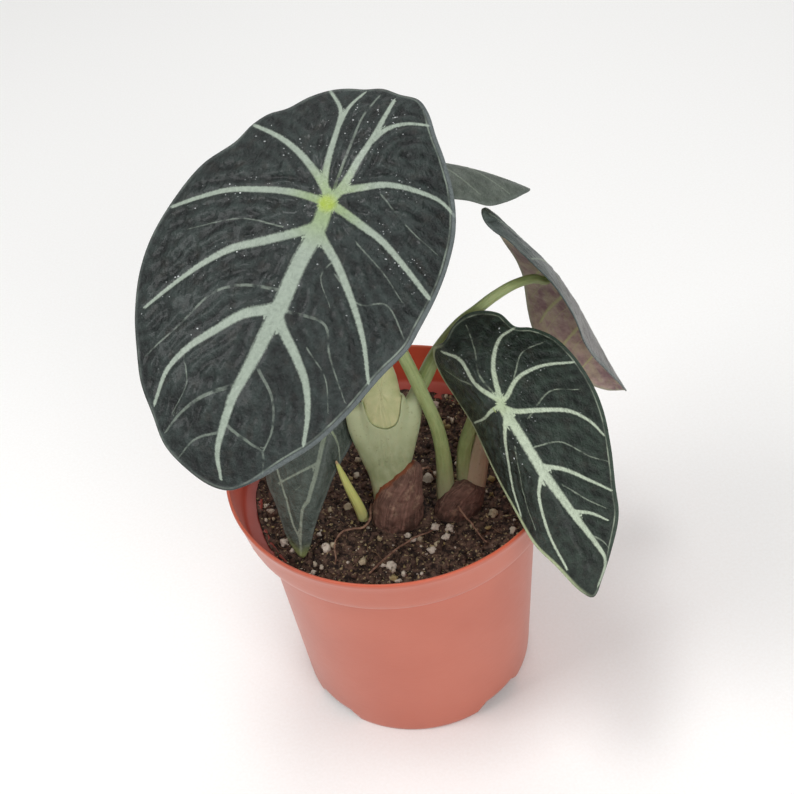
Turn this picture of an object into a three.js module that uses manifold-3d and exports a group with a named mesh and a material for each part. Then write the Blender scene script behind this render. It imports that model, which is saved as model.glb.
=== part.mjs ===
// Potted alocasia: five dark, pale-veined leaves on petioles from two crowns in a nursery pot of potting mix.
// Millimetres, +Z up, the origin at the middle of the pot's underside, +Y away from the front of the pot.
import * as THREE from "three";
import Module from "manifold-3d";

const wasm = await Module();
wasm.setup();

// Pot
const RIM_R = 60;
const RIM_H = 106;
const BASE_R = 44.5;
const NECK_R = 50.8;
const COLLAR_R = 57;
const COLLAR_H = 18;
const WALL = 1.2;
const FLOOR = 2;
const CORNER_H = 7.2;
const NOTCHES = 4;
const NOTCH_H = 4.7;
const POT_SIDES = 48;

// Potting mix
const SOIL_H = 88;
const SOIL_GAP = 0.35;

// Everything else
const GAP = 0.3;
const BLADE = 0.9;
const RIDGE = 2.6;
const DEG = Math.PI / 180;

const group = new THREE.Group();
group.name = "potted_alocasia";

const MATERIALS = {
  terracotta: { color: 0xc4745f, roughness: 0.5, metalness: 0 },
  soil: { color: 0x33231d, roughness: 0.95, metalness: 0 },
  blade: { color: 0x2c3938, roughness: 0.5, metalness: 0 },
  petiole: { color: 0x84984f, roughness: 0.45, metalness: 0 },
  sheath: { color: 0x9fae78, roughness: 0.5, metalness: 0 },
  corm: { color: 0x6b4238, roughness: 0.8, metalness: 0 },
  shoot: { color: 0xb3bd62, roughness: 0.45, metalness: 0 },
  root: { color: 0x8a6a58, roughness: 0.8, metalness: 0 },
  perlite: { color: 0xe6ded0, roughness: 0.9, metalness: 0 },
};

function vec(x, y, z) {
  return new THREE.Vector3(x, y, z);
}

// A solid from a list of Vector3 and a list of triangles that face out.
function solid(points, faces) {
  return new wasm.Manifold(
    new wasm.Mesh({
      numProp: 3,
      vertProperties: new Float32Array(points.flatMap((p) => [p.x, p.y, p.z])),
      triVerts: new Uint32Array(faces.flat()),
    }),
  );
}

function addPart(name, material, body) {
  const mesh = body.getMesh();
  const positions = new Float32Array(mesh.numVert * 3);
  for (let i = 0; i < mesh.numVert; i++) {
    const start = i * mesh.numProp;
    positions.set(mesh.vertProperties.subarray(start, start + 3), i * 3);
  }
  const geometry = new THREE.BufferGeometry();
  geometry.setAttribute("position", new THREE.BufferAttribute(positions, 3));
  geometry.setIndex(new THREE.BufferAttribute(new Uint32Array(mesh.triVerts), 1));
  geometry.computeVertexNormals();
  const part = new THREE.Mesh(geometry, new THREE.MeshStandardMaterial(MATERIALS[material]));
  part.name = name;
  group.add(part);
}

// Joins closed rings of equal length into a tube and closes its ends with one point each.
function closeRings(rings, first, last) {
  const sides = rings[0].length;
  const points = [...rings.flat(), first, last];
  const top = points.length - 1;
  const faces = [];
  rings.slice(1).forEach((_, i) => {
    for (let j = 0; j < sides; j++) {
      const a = i * sides + j;
      const b = i * sides + ((j + 1) % sides);
      faces.push([a, b, b + sides], [a, b + sides, a + sides]);
    }
  });
  const end = (rings.length - 1) * sides;
  for (let j = 0; j < sides; j++) {
    const next = (j + 1) % sides;
    faces.push([top - 1, next, j], [top, end + j, end + next]);
  }
  return solid(points, faces);
}

// A round solid about the Z axis from profile points [radius, z] that run up the outside.
function turned(profile, sides = POT_SIDES) {
  const rings = profile.slice(1, -1).map(([radius, z]) =>
    Array.from({ length: sides }, (_, j) => {
      const angle = (j / sides) * 2 * Math.PI;
      return vec(radius * Math.cos(angle), radius * Math.sin(angle), z);
    }),
  );
  return closeRings(rings, vec(0, 0, profile[0][1]), vec(0, 0, profile.at(-1)[1]));
}

// A stem along stations [x, y, z, half width, half depth]; grow widens it for a pocket.
function stem(stations, { sides = 9, steps = 10, grow = 0 } = {}) {
  const path = new THREE.CatmullRomCurve3(stations.map(([x, y, z]) => vec(x, y, z)));
  const sizes = new THREE.CatmullRomCurve3(stations.map(([, , , w, d]) => vec(w, d, 0)));
  const inner = Array.from({ length: steps - 1 }, (_, i) => [(i + 1) / steps, 1, 0]);
  const rings = [[0, 0.62, -1], [0.25 / steps, 0.93, -1], ...inner, [1 - 0.25 / steps, 0.93, 1], [1, 0.62, 1]];
  const made = rings.map(([t, scale, end]) => {
    const along = path.getTangent(t);
    const centre = path.getPoint(t).addScaledVector(along, end * grow);
    const depth = vec(0, 1, 0).addScaledVector(along, -along.y).normalize();
    const side = new THREE.Vector3().crossVectors(depth, along);
    const size = sizes.getPoint(t);
    return Array.from({ length: sides }, (_, j) => {
      const angle = (j / sides) * 2 * Math.PI;
      return centre
        .clone()
        .addScaledVector(side, (size.x * scale + grow) * Math.cos(angle))
        .addScaledVector(depth, (size.y * scale + grow) * Math.sin(angle));
    });
  });
  const tip = (t) => {
    const size = sizes.getPoint(t);
    const out = path.getTangent(t).multiplyScalar((t ? 1 : -1) * (Math.min(size.x, size.y) * 0.25 + 1.3 * grow));
    return path.getPoint(t).add(out);
  };
  return closeRings(made, tip(0), tip(1));
}

// Rows [x, ...values] read at x with slopes that keep the curve smooth.
function readRows(rows, x) {
  const at = Math.min(Math.max(x, rows[0][0]), rows.at(-1)[0]);
  const i = Math.max(0, Math.min(rows.length - 2, rows.findLastIndex((row) => row[0] <= at)));
  const slope = (k, v) => {
    const low = rows[Math.max(k - 1, 0)];
    const high = rows[Math.min(k + 1, rows.length - 1)];
    return (high[v] - low[v]) / (high[0] - low[0]);
  };
  const span = rows[i + 1][0] - rows[i][0];
  const u = (at - rows[i][0]) / span;
  return rows[i].slice(1).map((value, k) => {
    const v = k + 1;
    const start = value * (1 + 2 * u) * (1 - u) ** 2 + slope(i, v) * span * u * (1 - u) ** 2;
    return start + rows[i + 1][v] * u * u * (3 - 2 * u) + slope(i + 1, v) * span * u * u * (u - 1);
  });
}

// The frame of a midrib: along it, across it and up out of the blade's upper side.
function midribFrame(heading, pitch, roll) {
  const [h, p, r] = [heading * DEG, pitch * DEG, roll * DEG];
  const along = vec(Math.cos(h) * Math.cos(p), Math.sin(h) * Math.cos(p), -Math.sin(p));
  const raised = vec(Math.cos(h) * Math.sin(p), Math.sin(h) * Math.sin(p), Math.cos(p));
  const level = new THREE.Vector3().crossVectors(along, raised);
  const up = raised.multiplyScalar(Math.cos(r)).addScaledVector(level, -Math.sin(r));
  return { along, up, across: new THREE.Vector3().crossVectors(along, up) };
}

// Turns a flat leaf point, s along the midrib from the petiole and t to its left, into a point in space.
class Blade {
  constructor({ attach, width, rows, lift = [] }) {
    this.rows = rows;
    this.width = width;
    this.lift = lift;
    this.step = 1;
    this.start = Math.floor(rows[0][0]) - 2;
    this.frames = [];
    for (let s = this.start; s <= rows.at(-1)[0] + 2; s += this.step) {
      this.frames.push(midribFrame(...readRows(rows, s).slice(0, 3)));
    }
    this.spine = [vec(0, 0, 0)];
    this.frames.slice(1).forEach((frame, i) => {
      const move = frame.along.clone().add(this.frames[i].along);
      this.spine.push(this.spine[i].clone().addScaledVector(move, this.step / 2));
    });
    const shift = vec(...attach).sub(this.spine[-this.start / this.step]);
    this.spine.forEach((p) => p.add(shift));
  }

  at(s, t) {
    const x = Math.min(Math.max((s - this.start) / this.step, 0), this.spine.length - 1.001);
    const i = Math.floor(x);
    const mix = (a, b) => a.clone().lerp(b, x - i);
    const centre = mix(this.spine[i], this.spine[i + 1]);
    const across = mix(this.frames[i].across, this.frames[i + 1].across).normalize();
    const up = mix(this.frames[i].up, this.frames[i + 1].up).normalize();
    const [, , , foldLeft, foldRight, curlLeft, curlRight] = readRows(this.rows, s);
    const [fold, curl] = t > 0 ? [foldLeft, curlLeft] : [foldRight, curlRight];
    const reach = Math.abs(t);
    let out = 0;
    let drop = 0;
    for (let k = 0; k < 12; k++) {
      const q = ((k + 0.5) / 12) * reach;
      const slope = (fold * (1 - Math.exp(-q / RIDGE)) + (curl * q) / (this.width / 2)) * DEG;
      out += (Math.cos(slope) * reach) / 12;
      drop += (Math.sin(slope) * reach) / 12;
    }
    this.lift.forEach(([ls, lt, size, high]) => {
      drop -= high * Math.exp(-((s - ls) ** 2 + (t - lt) ** 2) / size ** 2);
    });
    return centre.addScaledVector(across, Math.sign(t) * out).addScaledVector(up, -drop);
  }

  normal(s, t) {
    const ds = this.at(s + 0.4, t).sub(this.at(s - 0.4, t));
    const dt = this.at(s, t + 0.4).sub(this.at(s, t - 0.4));
    return dt.cross(ds).normalize();
  }
}

// The outline at an angle about the petiole, smoothed between the points that define it.
function outlineReader(points) {
  const curve = new THREE.CatmullRomCurve3(points.map(([s, t]) => vec(s, t, 0)), true);
  const dense = curve.getPoints(points.length * 12).map((p) => [Math.atan2(p.y, p.x), p.length()]);
  dense.sort((a, b) => a[0] - b[0]);
  dense.unshift([dense.at(-1)[0] - 2 * Math.PI, dense.at(-1)[1]]);
  dense.push([dense[1][0] + 2 * Math.PI, dense[1][1]]);
  return (angle) => {
    const turn = Math.atan2(Math.sin(angle), Math.cos(angle));
    const i = dense.findIndex((row) => row[0] >= turn);
    const [low, high] = [dense[Math.max(i - 1, 0)], dense[i]];
    const u = (turn - low[0]) / Math.max(high[0] - low[0], 1e-9);
    return low[1] + (high[1] - low[1]) * u;
  };
}

// A leaf blade of even thickness: rings of 6, 12, 18... points about the petiole, on both sides.
function leafBlade(leaf, rings) {
  const blade = new Blade(leaf);
  const radius = outlineReader(leaf.outline);
  const [tipS, tipT] = leaf.outline[0];
  const flat = [[0, 0]];
  for (let k = 1; k <= rings; k++) {
    for (let j = 0; j < 6 * k; j++) {
      const angle = Math.atan2(tipT, tipS) + (j / (6 * k)) * 2 * Math.PI;
      const r = radius(angle) * (k / rings);
      flat.push([r * Math.cos(angle), r * Math.sin(angle)]);
    }
  }
  const upper = [];
  const lower = [];
  flat.forEach(([s, t]) => {
    const p = blade.at(s, t);
    const n = blade.normal(s, t);
    upper.push(p);
    lower.push(p.clone().addScaledVector(n, -BLADE));
  });
  const count = flat.length;
  const ring = (k, j) => (k === 0 ? 0 : 1 + 3 * k * (k - 1) + (j % (6 * k)));
  const faces = [];
  for (let k = 1; k <= rings; k++) {
    for (let sector = 0; sector < 6; sector++) {
      for (let m = 0; m < k; m++) {
        const a = ring(k, sector * k + m);
        const b = ring(k, sector * k + m + 1);
        const c = ring(k - 1, sector * (k - 1) + m);
        faces.push([b, a, c]);
        if (m < k - 1) {
          faces.push([ring(k - 1, sector * (k - 1) + m + 1), b, c]);
        }
      }
    }
  }
  const all = [];
  faces.forEach(([a, b, c]) => all.push([a, b, c], [b + count, a + count, c + count]));
  for (let j = 0; j < 6 * rings; j++) {
    const a = ring(rings, j);
    const b = ring(rings, j + 1);
    all.push([a, b, a + count], [a + count, b, b + count]);
  }
  return solid([...upper, ...lower], all);
}

// The surface of the potting mix, a little uneven.
function soilHeight(x, y) {
  const swell = 0.7 * Math.sin(0.13 * x + 0.9) * Math.cos(0.11 * y - 0.5) + 0.4 * Math.sin(0.31 * x - 0.23 * y);
  return SOIL_H - 0.6 + swell * (1 - (Math.hypot(x, y) / NECK_R) ** 4);
}

const neckZ = RIM_H - COLLAR_H;

function makePot() {
  const outside = [
    [0, 0],
    [BASE_R - 1, 0],
    [BASE_R, 1],
    [NECK_R, neckZ],
    [COLLAR_R - 0.6, neckZ + 0.2],
    [COLLAR_R, neckZ + 1],
    [RIM_R - 0.4, RIM_H - 2.4],
    [RIM_R, RIM_H - 2],
    [RIM_R, RIM_H - 0.4],
    [RIM_R - 0.4, RIM_H],
    [0, RIM_H],
  ];
  const hollow = [
    [0, FLOOR],
    [BASE_R - 8, FLOOR],
    [BASE_R - WALL + 0.1, CORNER_H],
    [NECK_R - WALL - 0.3, neckZ + 0.4],
    [COLLAR_R - WALL - 0.2, neckZ + 2.2],
    [RIM_R - WALL, RIM_H - 0.3],
    [RIM_R - WALL + 0.3, RIM_H + 1],
    [0, RIM_H + 1],
  ];
  let pot = turned(outside).subtract(turned(hollow));
  const notchAt = (x) => [vec(x, -12.5, -1), vec(x, 12, -1), vec(x, 6, NOTCH_H), vec(x, -7, NOTCH_H)];
  const inside = BASE_R - 4;
  const beyond = BASE_R + 4;
  const notch = closeRings([notchAt(inside), notchAt(beyond)], vec(inside, 0, 1), vec(beyond, 0, 1));
  for (let i = 0; i < NOTCHES; i++) {
    pot = pot.subtract(notch.rotate([0, 0, 40 + (i * 360) / NOTCHES]));
  }
  return pot;
}

function makeSoil(pockets) {
  const sides = 36;
  const rounds = 6;
  const ringAt = (radius, height) =>
    Array.from({ length: sides }, (_, j) => {
      const angle = (j / sides) * 2 * Math.PI;
      const [x, y] = [radius * Math.cos(angle), radius * Math.sin(angle)];
      return vec(x, y, height ?? soilHeight(x, y));
    });
  const bottom = FLOOR + SOIL_GAP;
  const reach = NECK_R - WALL - 0.3 - SOIL_GAP;
  const rings = [
    ringAt(BASE_R - 8.6, bottom),
    ringAt(BASE_R - WALL - 0.4, CORNER_H + 0.4),
    ringAt(reach - 0.05, neckZ + 0.5),
    ringAt(reach + 3.6, neckZ + 2),
    ringAt(reach + 3.6, neckZ + 2.4),
  ];
  for (let k = rounds; k >= 1; k--) {
    rings.push(ringAt(((reach - 0.4) * k) / rounds));
  }
  let soil = closeRings(rings, vec(0, 0, bottom), vec(0, 0, soilHeight(0, 0)));
  pockets.forEach((pocket) => {
    soil = soil.subtract(pocket);
  });
  return soil;
}

// Blades: rows are [s, heading, pitch, roll, left fold, right fold, left curl, right curl] in mm and degrees.
const LEAVES = {
  1: {
    attach: [-8.5, 5, 214],
    width: 100,
    rings: 8,
    rows: [
      [-46, -134, 12, 16, 4, 4, 24, 20],
      [0, -130, 30, 16, 2, 2, 18, 16],
      [50, -125, 40, 14, 2, 2, 16, 16],
      [96, -122, 48, 12, 2, 2, 14, 14],
    ],
    outline: [
      [94, 0], [92, -4], [88, -9], [82, -15], [73, -23], [61, -30], [46, -36], [34, -41], [27, -42], [13, -43],
      [0, -42], [-12, -39], [-23, -33], [-32, -25], [-38, -18], [-44, -11], [-46, -6], [-44, 0], [-43, 6],
      [-40, 11], [-38, 16], [-35, 21], [-30, 26], [-24, 30], [-20, 35], [-15, 38], [-8, 40], [2, 47],
      [15, 51], [28, 53], [39, 52], [51, 48], [61, 43], [70, 38], [78, 31], [86, 24], [91, 15], [94, 6],
    ],
  },
  2: {
    attach: [37.4, -29, 150.7],
    width: 74,
    rings: 8,
    rows: [
      [-40, -60, 12, -2, 86, 6, 10, 20],
      [-15, -60, 24, -2, 88, 2, 10, 18],
      [0, -60, 31, -2, 86, 2, 10, 16],
      [45, -60, 50, -2, 60, 4, 12, 16],
      [76, -60, 64, -2, 28, 6, 14, 16],
    ],
    outline: [
      [70, 3], [66, -2], [60, -9], [51, -18], [42, -22], [30, -28], [18, -33], [8, -35], [-4, -35], [-13, -33],
      [-19, -28], [-22, -23], [-29, -22], [-33, -17], [-34, -11], [-32, -4], [-29, 2], [-32, 8], [-31, 14],
      [-25, 19], [-14, 22], [-4, 23], [7, 23], [19, 22], [34, 19], [47, 16], [56, 11], [67, 6],
    ],
  },
  3: {
    attach: [62.8, 23, 162.6],
    stalk: [4, -2.5],
    width: 66,
    rings: 8,
    rows: [
      [-46, -10, -10, 10, 40, -10, 10, 4],
      [-37, -10, 30, 24, 34, -10, 10, 4],
      [-28, -10, 53, 35, 28, 0, 8, 6],
      [-15, -5, 52, 38, 24, 10, 6, 6],
      [0, 8, 60, 22, 23, 20, 6, 8],
      [15, 18, 66, 5, 22, 28, 6, 10],
      [40, 26, 69, -6, 21, 42, 6, 10],
      [84, 28, 65, -4, 17, 60, 6, 10],
    ],
    outline: [
      [78, -1], [76, -6], [71, -13], [64, -18], [54, -22], [42, -24], [30, -23], [17, -20], [5, -16], [-6, -13],
      [-16, -11], [-24, -9], [-30, -6], [-33, -1], [-36, 3], [-35, 8], [-31, 12], [-26, 13], [-21, 17],
      [-15, 22], [-6, 25], [6, 26], [18, 24], [30, 20], [43, 15], [55, 11], [66, 6], [74, 2],
    ],
  },
  4: {
    attach: [16, 40, 203.4],
    width: 46,
    rings: 6,
    rows: [
      [-26, -2, 4, 30, 24, 24, 20, 20],
      [0, -2, 10, 30, 24, 24, 20, 20],
      [30, -2, 27, 30, 24, 24, 20, 20],
      [50, -2, 36, 30, 24, 24, 20, 20],
    ],
    outline: [
      [47, 0], [41, -8], [33, -15], [22, -19], [10, -20], [-2, -18], [-12, -14], [-19, -8], [-18, 0], [-19, 8],
      [-12, 15], [-2, 19], [10, 21], [22, 20], [29, 20], [34, 17], [41, 10],
    ],
  },
  5: {
    attach: [-17.4, 2.7, 133],
    width: 54,
    rings: 6,
    rows: [
      [-28, -123, 30, 0, 10, 70, 20, 5],
      [0, -123, 42, 0, 10, 75, 20, 5],
      [56, -121, 62, 0, 10, 75, 20, 5],
    ],
    outline: [
      [57, 0], [53, -2], [45, -3], [36, -5], [25, -8], [14, -13], [4, -16], [-6, -16], [-15, -13], [-21, -7],
      [-19, 0], [-22, 8], [-17, 17], [-8, 22], [4, 26], [18, 28], [28, 27], [36, 23], [41, 17], [47, 12],
      [52, 8], [56, 3],
    ],
  },
};

// Stems: stations are [x, y, z, half width, half depth].
const SHEATH_RIGHT = [
  [-0.4, -8, 84, 6.8, 5],
  [-0.6, -6.5, 104, 6.2, 4.6],
  [1.8, -5, 114, 6.8, 4.4],
  [6.6, -3, 123.6, 5.2, 3.6],
  [10.8, -0.8, 132.6, 3.4, 3],
];
const SHEATH_LEFT = [
  [-1.6, -8, 84, 7, 5],
  [-2.4, -6.5, 104, 6.6, 4.6],
  [-4.8, -4.6, 115, 6.8, 4.4],
  [-8.4, -3, 125, 5.4, 3.4],
  [-10.4, -1.4, 134, 3.6, 2.4],
];
const INNER_SHEATH = [
  [-1.4, -3, 106, 4.6, 3],
  [-1.2, -1.6, 118, 6.4, 3.8],
  [-0.6, 0.6, 130, 6.6, 4],
  [1.2, 3, 142, 4.8, 3.2],
  [2.6, 5.4, 150, 3, 2.6],
];
const PETIOLES = {
  1: [
    [17, -11, 84, 3.5, 3.2],
    [17.2, -9.8, 92, 3.4, 3],
    [17.9, -8.4, 108, 2.8, 2.6],
    [16.8, -6.8, 124, 2.4, 2.3],
    [12.6, -4.2, 141, 2.3, 2.2],
    [4, 2.4, 168, 2.1, 2.1],
    [-3.4, 8, 194, 2, 2],
  ],
  2: [
    [24.2, -8.4, 84, 3, 2.8],
    [24.6, -8, 94, 3, 2.8],
    [26, -7, 112, 2.7, 2.6],
    [29.6, -6.8, 124, 2.4, 2.4],
    [33.4, -9, 136, 2.2, 2.2],
    [35.4, -17.6, 144.4, 2, 2],
  ],
  3: [
    [11, -0.4, 133.4, 2.2, 2.2],
    [14.2, 1.6, 138, 2.7, 2.5],
    [20.2, 4.8, 146.8, 2.5, 2.4],
    [29, 8.6, 155.2, 2.3, 2.3],
    [35.6, 11, 158.4, 2.2, 2.2],
    [42.2, 13.4, 161.3, 2.1, 2.1],
    [48.8, 16, 162.8, 2, 2],
    [55.8, 18.8, 162, 1.9, 1.9],
  ],
  4: [
    [2.8, 5.8, 151, 2, 2],
    [4.6, 10, 158, 2.1, 2.1],
    [8.4, 22, 176, 2, 2],
    [13, 34, 193, 1.8, 1.8],
  ],
  5: [
    [-3, 1.4, 84, 2.6, 2.4],
    [-3.4, 1.6, 96, 2.4, 2.3],
    [-6, 4.8, 110, 2.2, 2.2],
    [-10.8, 8.4, 120, 2.1, 2.1],
    [-14.2, 7.8, 126.4, 1.9, 1.9],
  ],
};
const SIDE_SHEATH = [
  [25.6, -9.6, 84, 4.4, 3.2],
  [27.6, -9, 94, 4.2, 3],
  [30.4, -8.2, 107, 3.5, 2.6],
  [32.6, -8, 118, 2.5, 2],
  [33.8, -8, 124, 1.4, 1.2],
];
const CORM_MAIN = [
  [0, -13, 80, 8, 6.4],
  [0.6, -13, 87, 10.2, 7.6],
  [3.2, -10.6, 97, 8.8, 6.4],
  [6.6, -8.4, 104, 5.4, 4.6],
  [8, -7.4, 108.5, 2.4, 2],
];
const CORM_SIDE = [
  [18, -14, 79, 6.4, 5],
  [20.4, -13.2, 86, 8.4, 6],
  [24, -11.6, 92, 7.4, 5.4],
  [28, -10.6, 97, 4.4, 3.6],
];
const NEW_SHOOT = [
  [-12.8, -11, 82, 1.8, 1.7],
  [-13.9, -11, 92, 1.9, 1.8],
  [-16.6, -10.8, 104, 1.6, 1.5],
  [-19.3, -10, 117, 0.4, 0.4],
];

// Roots lie on the mix: [x, y] points, half width and how far each point stands off the surface.
const ROOTS = {
  root_1: { r: 0.5, points: [[-10.4, -17.4, 0.9], [-14, -16.6, 0.9], [-21.5, -17.6, 0.9], [-24.4, -22, 0.9], [-24, -28, 0.9]] },
  root_2: { r: 0.5, points: [[-9, -34.6, 0.9], [-2, -29, 0.9], [4, -25.4, 0.9], [9, -23.6, 0.9]] },
  root_3: { r: 0.5, points: [[23.6, -20.8, 0.9], [26, -26, 0.9], [28.4, -31, 0.9]] },
};

// Perlite grains: [x, y, half size].
const PERLITE = [
  [18, 41.6, 2],
  [11.6, 3, 1.8],
  [11.7, -20.6, 1.6],
  [16.5, -21.6, 1.7],
  [15, -25.6, 1.4],
  [9.6, -30.4, 1.5],
  [-5.7, -35.6, 1.8],
  [-18.6, -5, 1.7],
  [-27.4, -23.4, 1.7],
  [2, -22, 1.2],
  [-15.2, -32, 1.4],
  [-26, 8, 1.6],
  [-42.2, -17.6, 1.5],
  [33.2, -18.4, 1.7],
];

function grain(x, y, size, index, grow = 0) {
  const shape = new THREE.IcosahedronGeometry(1, 0);
  const position = shape.getAttribute("position");
  const points = [];
  const lookup = new Map();
  const faces = [];
  for (let i = 0; i < position.count; i += 3) {
    faces.push(
      [0, 1, 2].map((k) => {
        const p = vec(0, 0, 0).fromBufferAttribute(position, i + k);
        const key = p.toArray().map((v) => v.toFixed(3)).join();
        if (!lookup.has(key)) {
          lookup.set(key, points.length);
          const bump = 1 + 0.16 * Math.sin(3 * p.x + index) + 0.12 * Math.cos(4 * p.y - 2 * index);
          const radius = size * bump + grow;
          points.push(vec(p.x * radius * 1.15, p.y * radius, p.z * radius * 0.85));
        }
        return lookup.get(key);
      }),
    );
  }
  const height = soilHeight(x, y) + size * 0.35;
  return solid(points, faces).rotate([0, 0, 47 * index]).translate([x, y, height]);
}

function rootStations({ r, points }, extra = 0) {
  return points.map(([x, y, lift]) => [x, y, soilHeight(x, y) + lift, r + extra, r + extra]);
}

// A petiole's stations end just under the blade it carries.
function petiolePath(i) {
  const blade = new Blade(LEAVES[i]);
  const [s, t] = LEAVES[i].stalk ?? [0, 0];
  const size = PETIOLES[i].at(-1)[3] * 0.95;
  const end = blade.at(s, t).addScaledVector(blade.normal(s, t), -(BLADE + GAP + 0.1 + size * 0.45));
  return [...PETIOLES[i], [...end.toArray(), size, size]];
}

addPart("pot", "terracotta", makePot());

const wide = GAP + 0.05;
const sheathSolid = (grow) =>
  stem(SHEATH_RIGHT, { sides: 12, steps: 7, grow }).add(stem(SHEATH_LEFT, { sides: 12, steps: 7, grow }));
const sheathPocket = sheathSolid(wide);
const innerPocket = stem(INNER_SHEATH, { sides: 10, steps: 7, grow: wide });
const petiolePocket = (i) => stem(petiolePath(i), { grow: wide });
const sidePocket = stem(SIDE_SHEATH, { sides: 10, steps: 7, grow: wide });
const cormMainPocket = stem(CORM_MAIN, { sides: 12, steps: 7, grow: wide });
const cormSidePocket = stem(CORM_SIDE, { sides: 12, steps: 7, grow: wide });
const shootPocket = stem(NEW_SHOOT, { sides: 8, steps: 7, grow: wide });

const grainPockets = PERLITE.map(([x, y, size], i) => grain(x, y, size, i, wide));
addPart(
  "potting_mix",
  "soil",
  makeSoil([
    sheathPocket,
    petiolePocket(1),
    petiolePocket(2),
    petiolePocket(5),
    sidePocket,
    cormMainPocket,
    cormSidePocket,
    shootPocket,
    ...grainPockets,
  ]),
);

addPart("main_sheath", "sheath", sheathSolid(0));
addPart("inner_sheath", "sheath", stem(INNER_SHEATH, { sides: 10, steps: 7 }).subtract(sheathPocket));
addPart(
  "side_sheath",
  "sheath",
  stem(SIDE_SHEATH, { sides: 10, steps: 7 }).subtract(petiolePocket(2)),
);
addPart(
  "corm_main",
  "corm",
  stem(CORM_MAIN, { sides: 12, steps: 7 }).subtract(sheathPocket).subtract(petiolePocket(1)),
);
addPart(
  "corm_side",
  "corm",
  stem(CORM_SIDE, { sides: 12, steps: 7 })
    .subtract(petiolePocket(1))
    .subtract(petiolePocket(2))
    .subtract(sidePocket)
    .subtract(cormMainPocket),
);
addPart("new_shoot", "shoot", stem(NEW_SHOOT, { sides: 8, steps: 7 }));

const cuts = {
  1: [sheathPocket],
  2: [],
  3: [sheathPocket, innerPocket],
  4: [innerPocket, sheathPocket],
  5: [sheathPocket],
};
Object.keys(PETIOLES).forEach((i) => {
  const body = cuts[i].reduce((left, cut) => left.subtract(cut), stem(petiolePath(i)));
  addPart(`petiole_${i}`, "petiole", body);
});

Object.entries(LEAVES).forEach(([i, leaf]) => {
  addPart(`leaf_blade_${i}`, "blade", leafBlade(leaf, leaf.rings));
});

Object.entries(ROOTS).forEach(([name, root]) => {
  addPart(name, "root", stem(rootStations(root), { sides: 6, steps: 8 }));
});

PERLITE.forEach(([x, y, size], i) => {
  addPart(`perlite_${i + 1}`, "perlite", grain(x, y, size, i));
});

export default group;
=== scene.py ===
# A small potted alocasia: dark pale-veined leaves on petioles, in a terracotta-coloured pot of peaty mix.
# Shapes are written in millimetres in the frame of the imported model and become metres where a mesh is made.
import math
import random

import bmesh
import bpy
import numpy as np
from mathutils import Matrix, Vector, kdtree, noise


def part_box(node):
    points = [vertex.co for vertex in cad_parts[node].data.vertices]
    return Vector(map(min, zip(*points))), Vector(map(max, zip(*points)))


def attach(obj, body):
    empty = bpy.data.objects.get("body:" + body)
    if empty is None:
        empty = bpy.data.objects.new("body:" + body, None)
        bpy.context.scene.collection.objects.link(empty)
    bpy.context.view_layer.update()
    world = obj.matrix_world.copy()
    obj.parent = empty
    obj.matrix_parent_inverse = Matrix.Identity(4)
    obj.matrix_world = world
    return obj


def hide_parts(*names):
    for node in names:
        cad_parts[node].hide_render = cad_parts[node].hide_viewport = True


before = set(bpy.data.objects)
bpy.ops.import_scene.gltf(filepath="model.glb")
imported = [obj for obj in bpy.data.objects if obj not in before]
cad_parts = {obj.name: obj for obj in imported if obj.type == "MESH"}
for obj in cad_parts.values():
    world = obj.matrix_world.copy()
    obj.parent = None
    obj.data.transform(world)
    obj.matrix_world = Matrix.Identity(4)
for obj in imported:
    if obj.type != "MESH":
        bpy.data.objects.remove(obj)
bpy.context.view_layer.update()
mm = 0.001
deg = math.pi / 180
print("frame loaded:", len(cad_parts), "nodes")


def tone(r, g, b):
    # a colour seen on screen, 0 to 255, as Blender's linear RGBA
    return (*[((c / 255 + 0.055) / 1.055) ** 2.4 if c > 10 else c / 3294.6 for c in (r, g, b)], 1)


# one output socket of a material: sums on it add Math nodes
class Wire:
    def __init__(self, finish, socket):
        self.finish = finish
        self.socket = socket

    def sum(self, operation, *values, clamp=False):
        return self.finish.add("Math", {"operation": operation, "use_clamp": clamp}, dict(enumerate(values)))

    def __add__(self, other):
        return self.sum("ADD", self, other)

    __radd__ = __add__

    def __sub__(self, other):
        return self.sum("SUBTRACT", self, other)

    def __rsub__(self, other):
        return self.sum("SUBTRACT", other, self)

    def __mul__(self, other):
        return self.sum("MULTIPLY", self, other)

    __rmul__ = __mul__

    def __truediv__(self, other):
        return self.sum("DIVIDE", self, other)

    def __abs__(self):
        return self.sum("ABSOLUTE", self)

    # 0 at low and 1 at high, smooth between; low may be the larger
    def step(self, low, high):
        return self.finish.add("MapRange", {"interpolation_type": "SMOOTHSTEP"}, {0: self, 1: low, 2: high})


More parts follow.
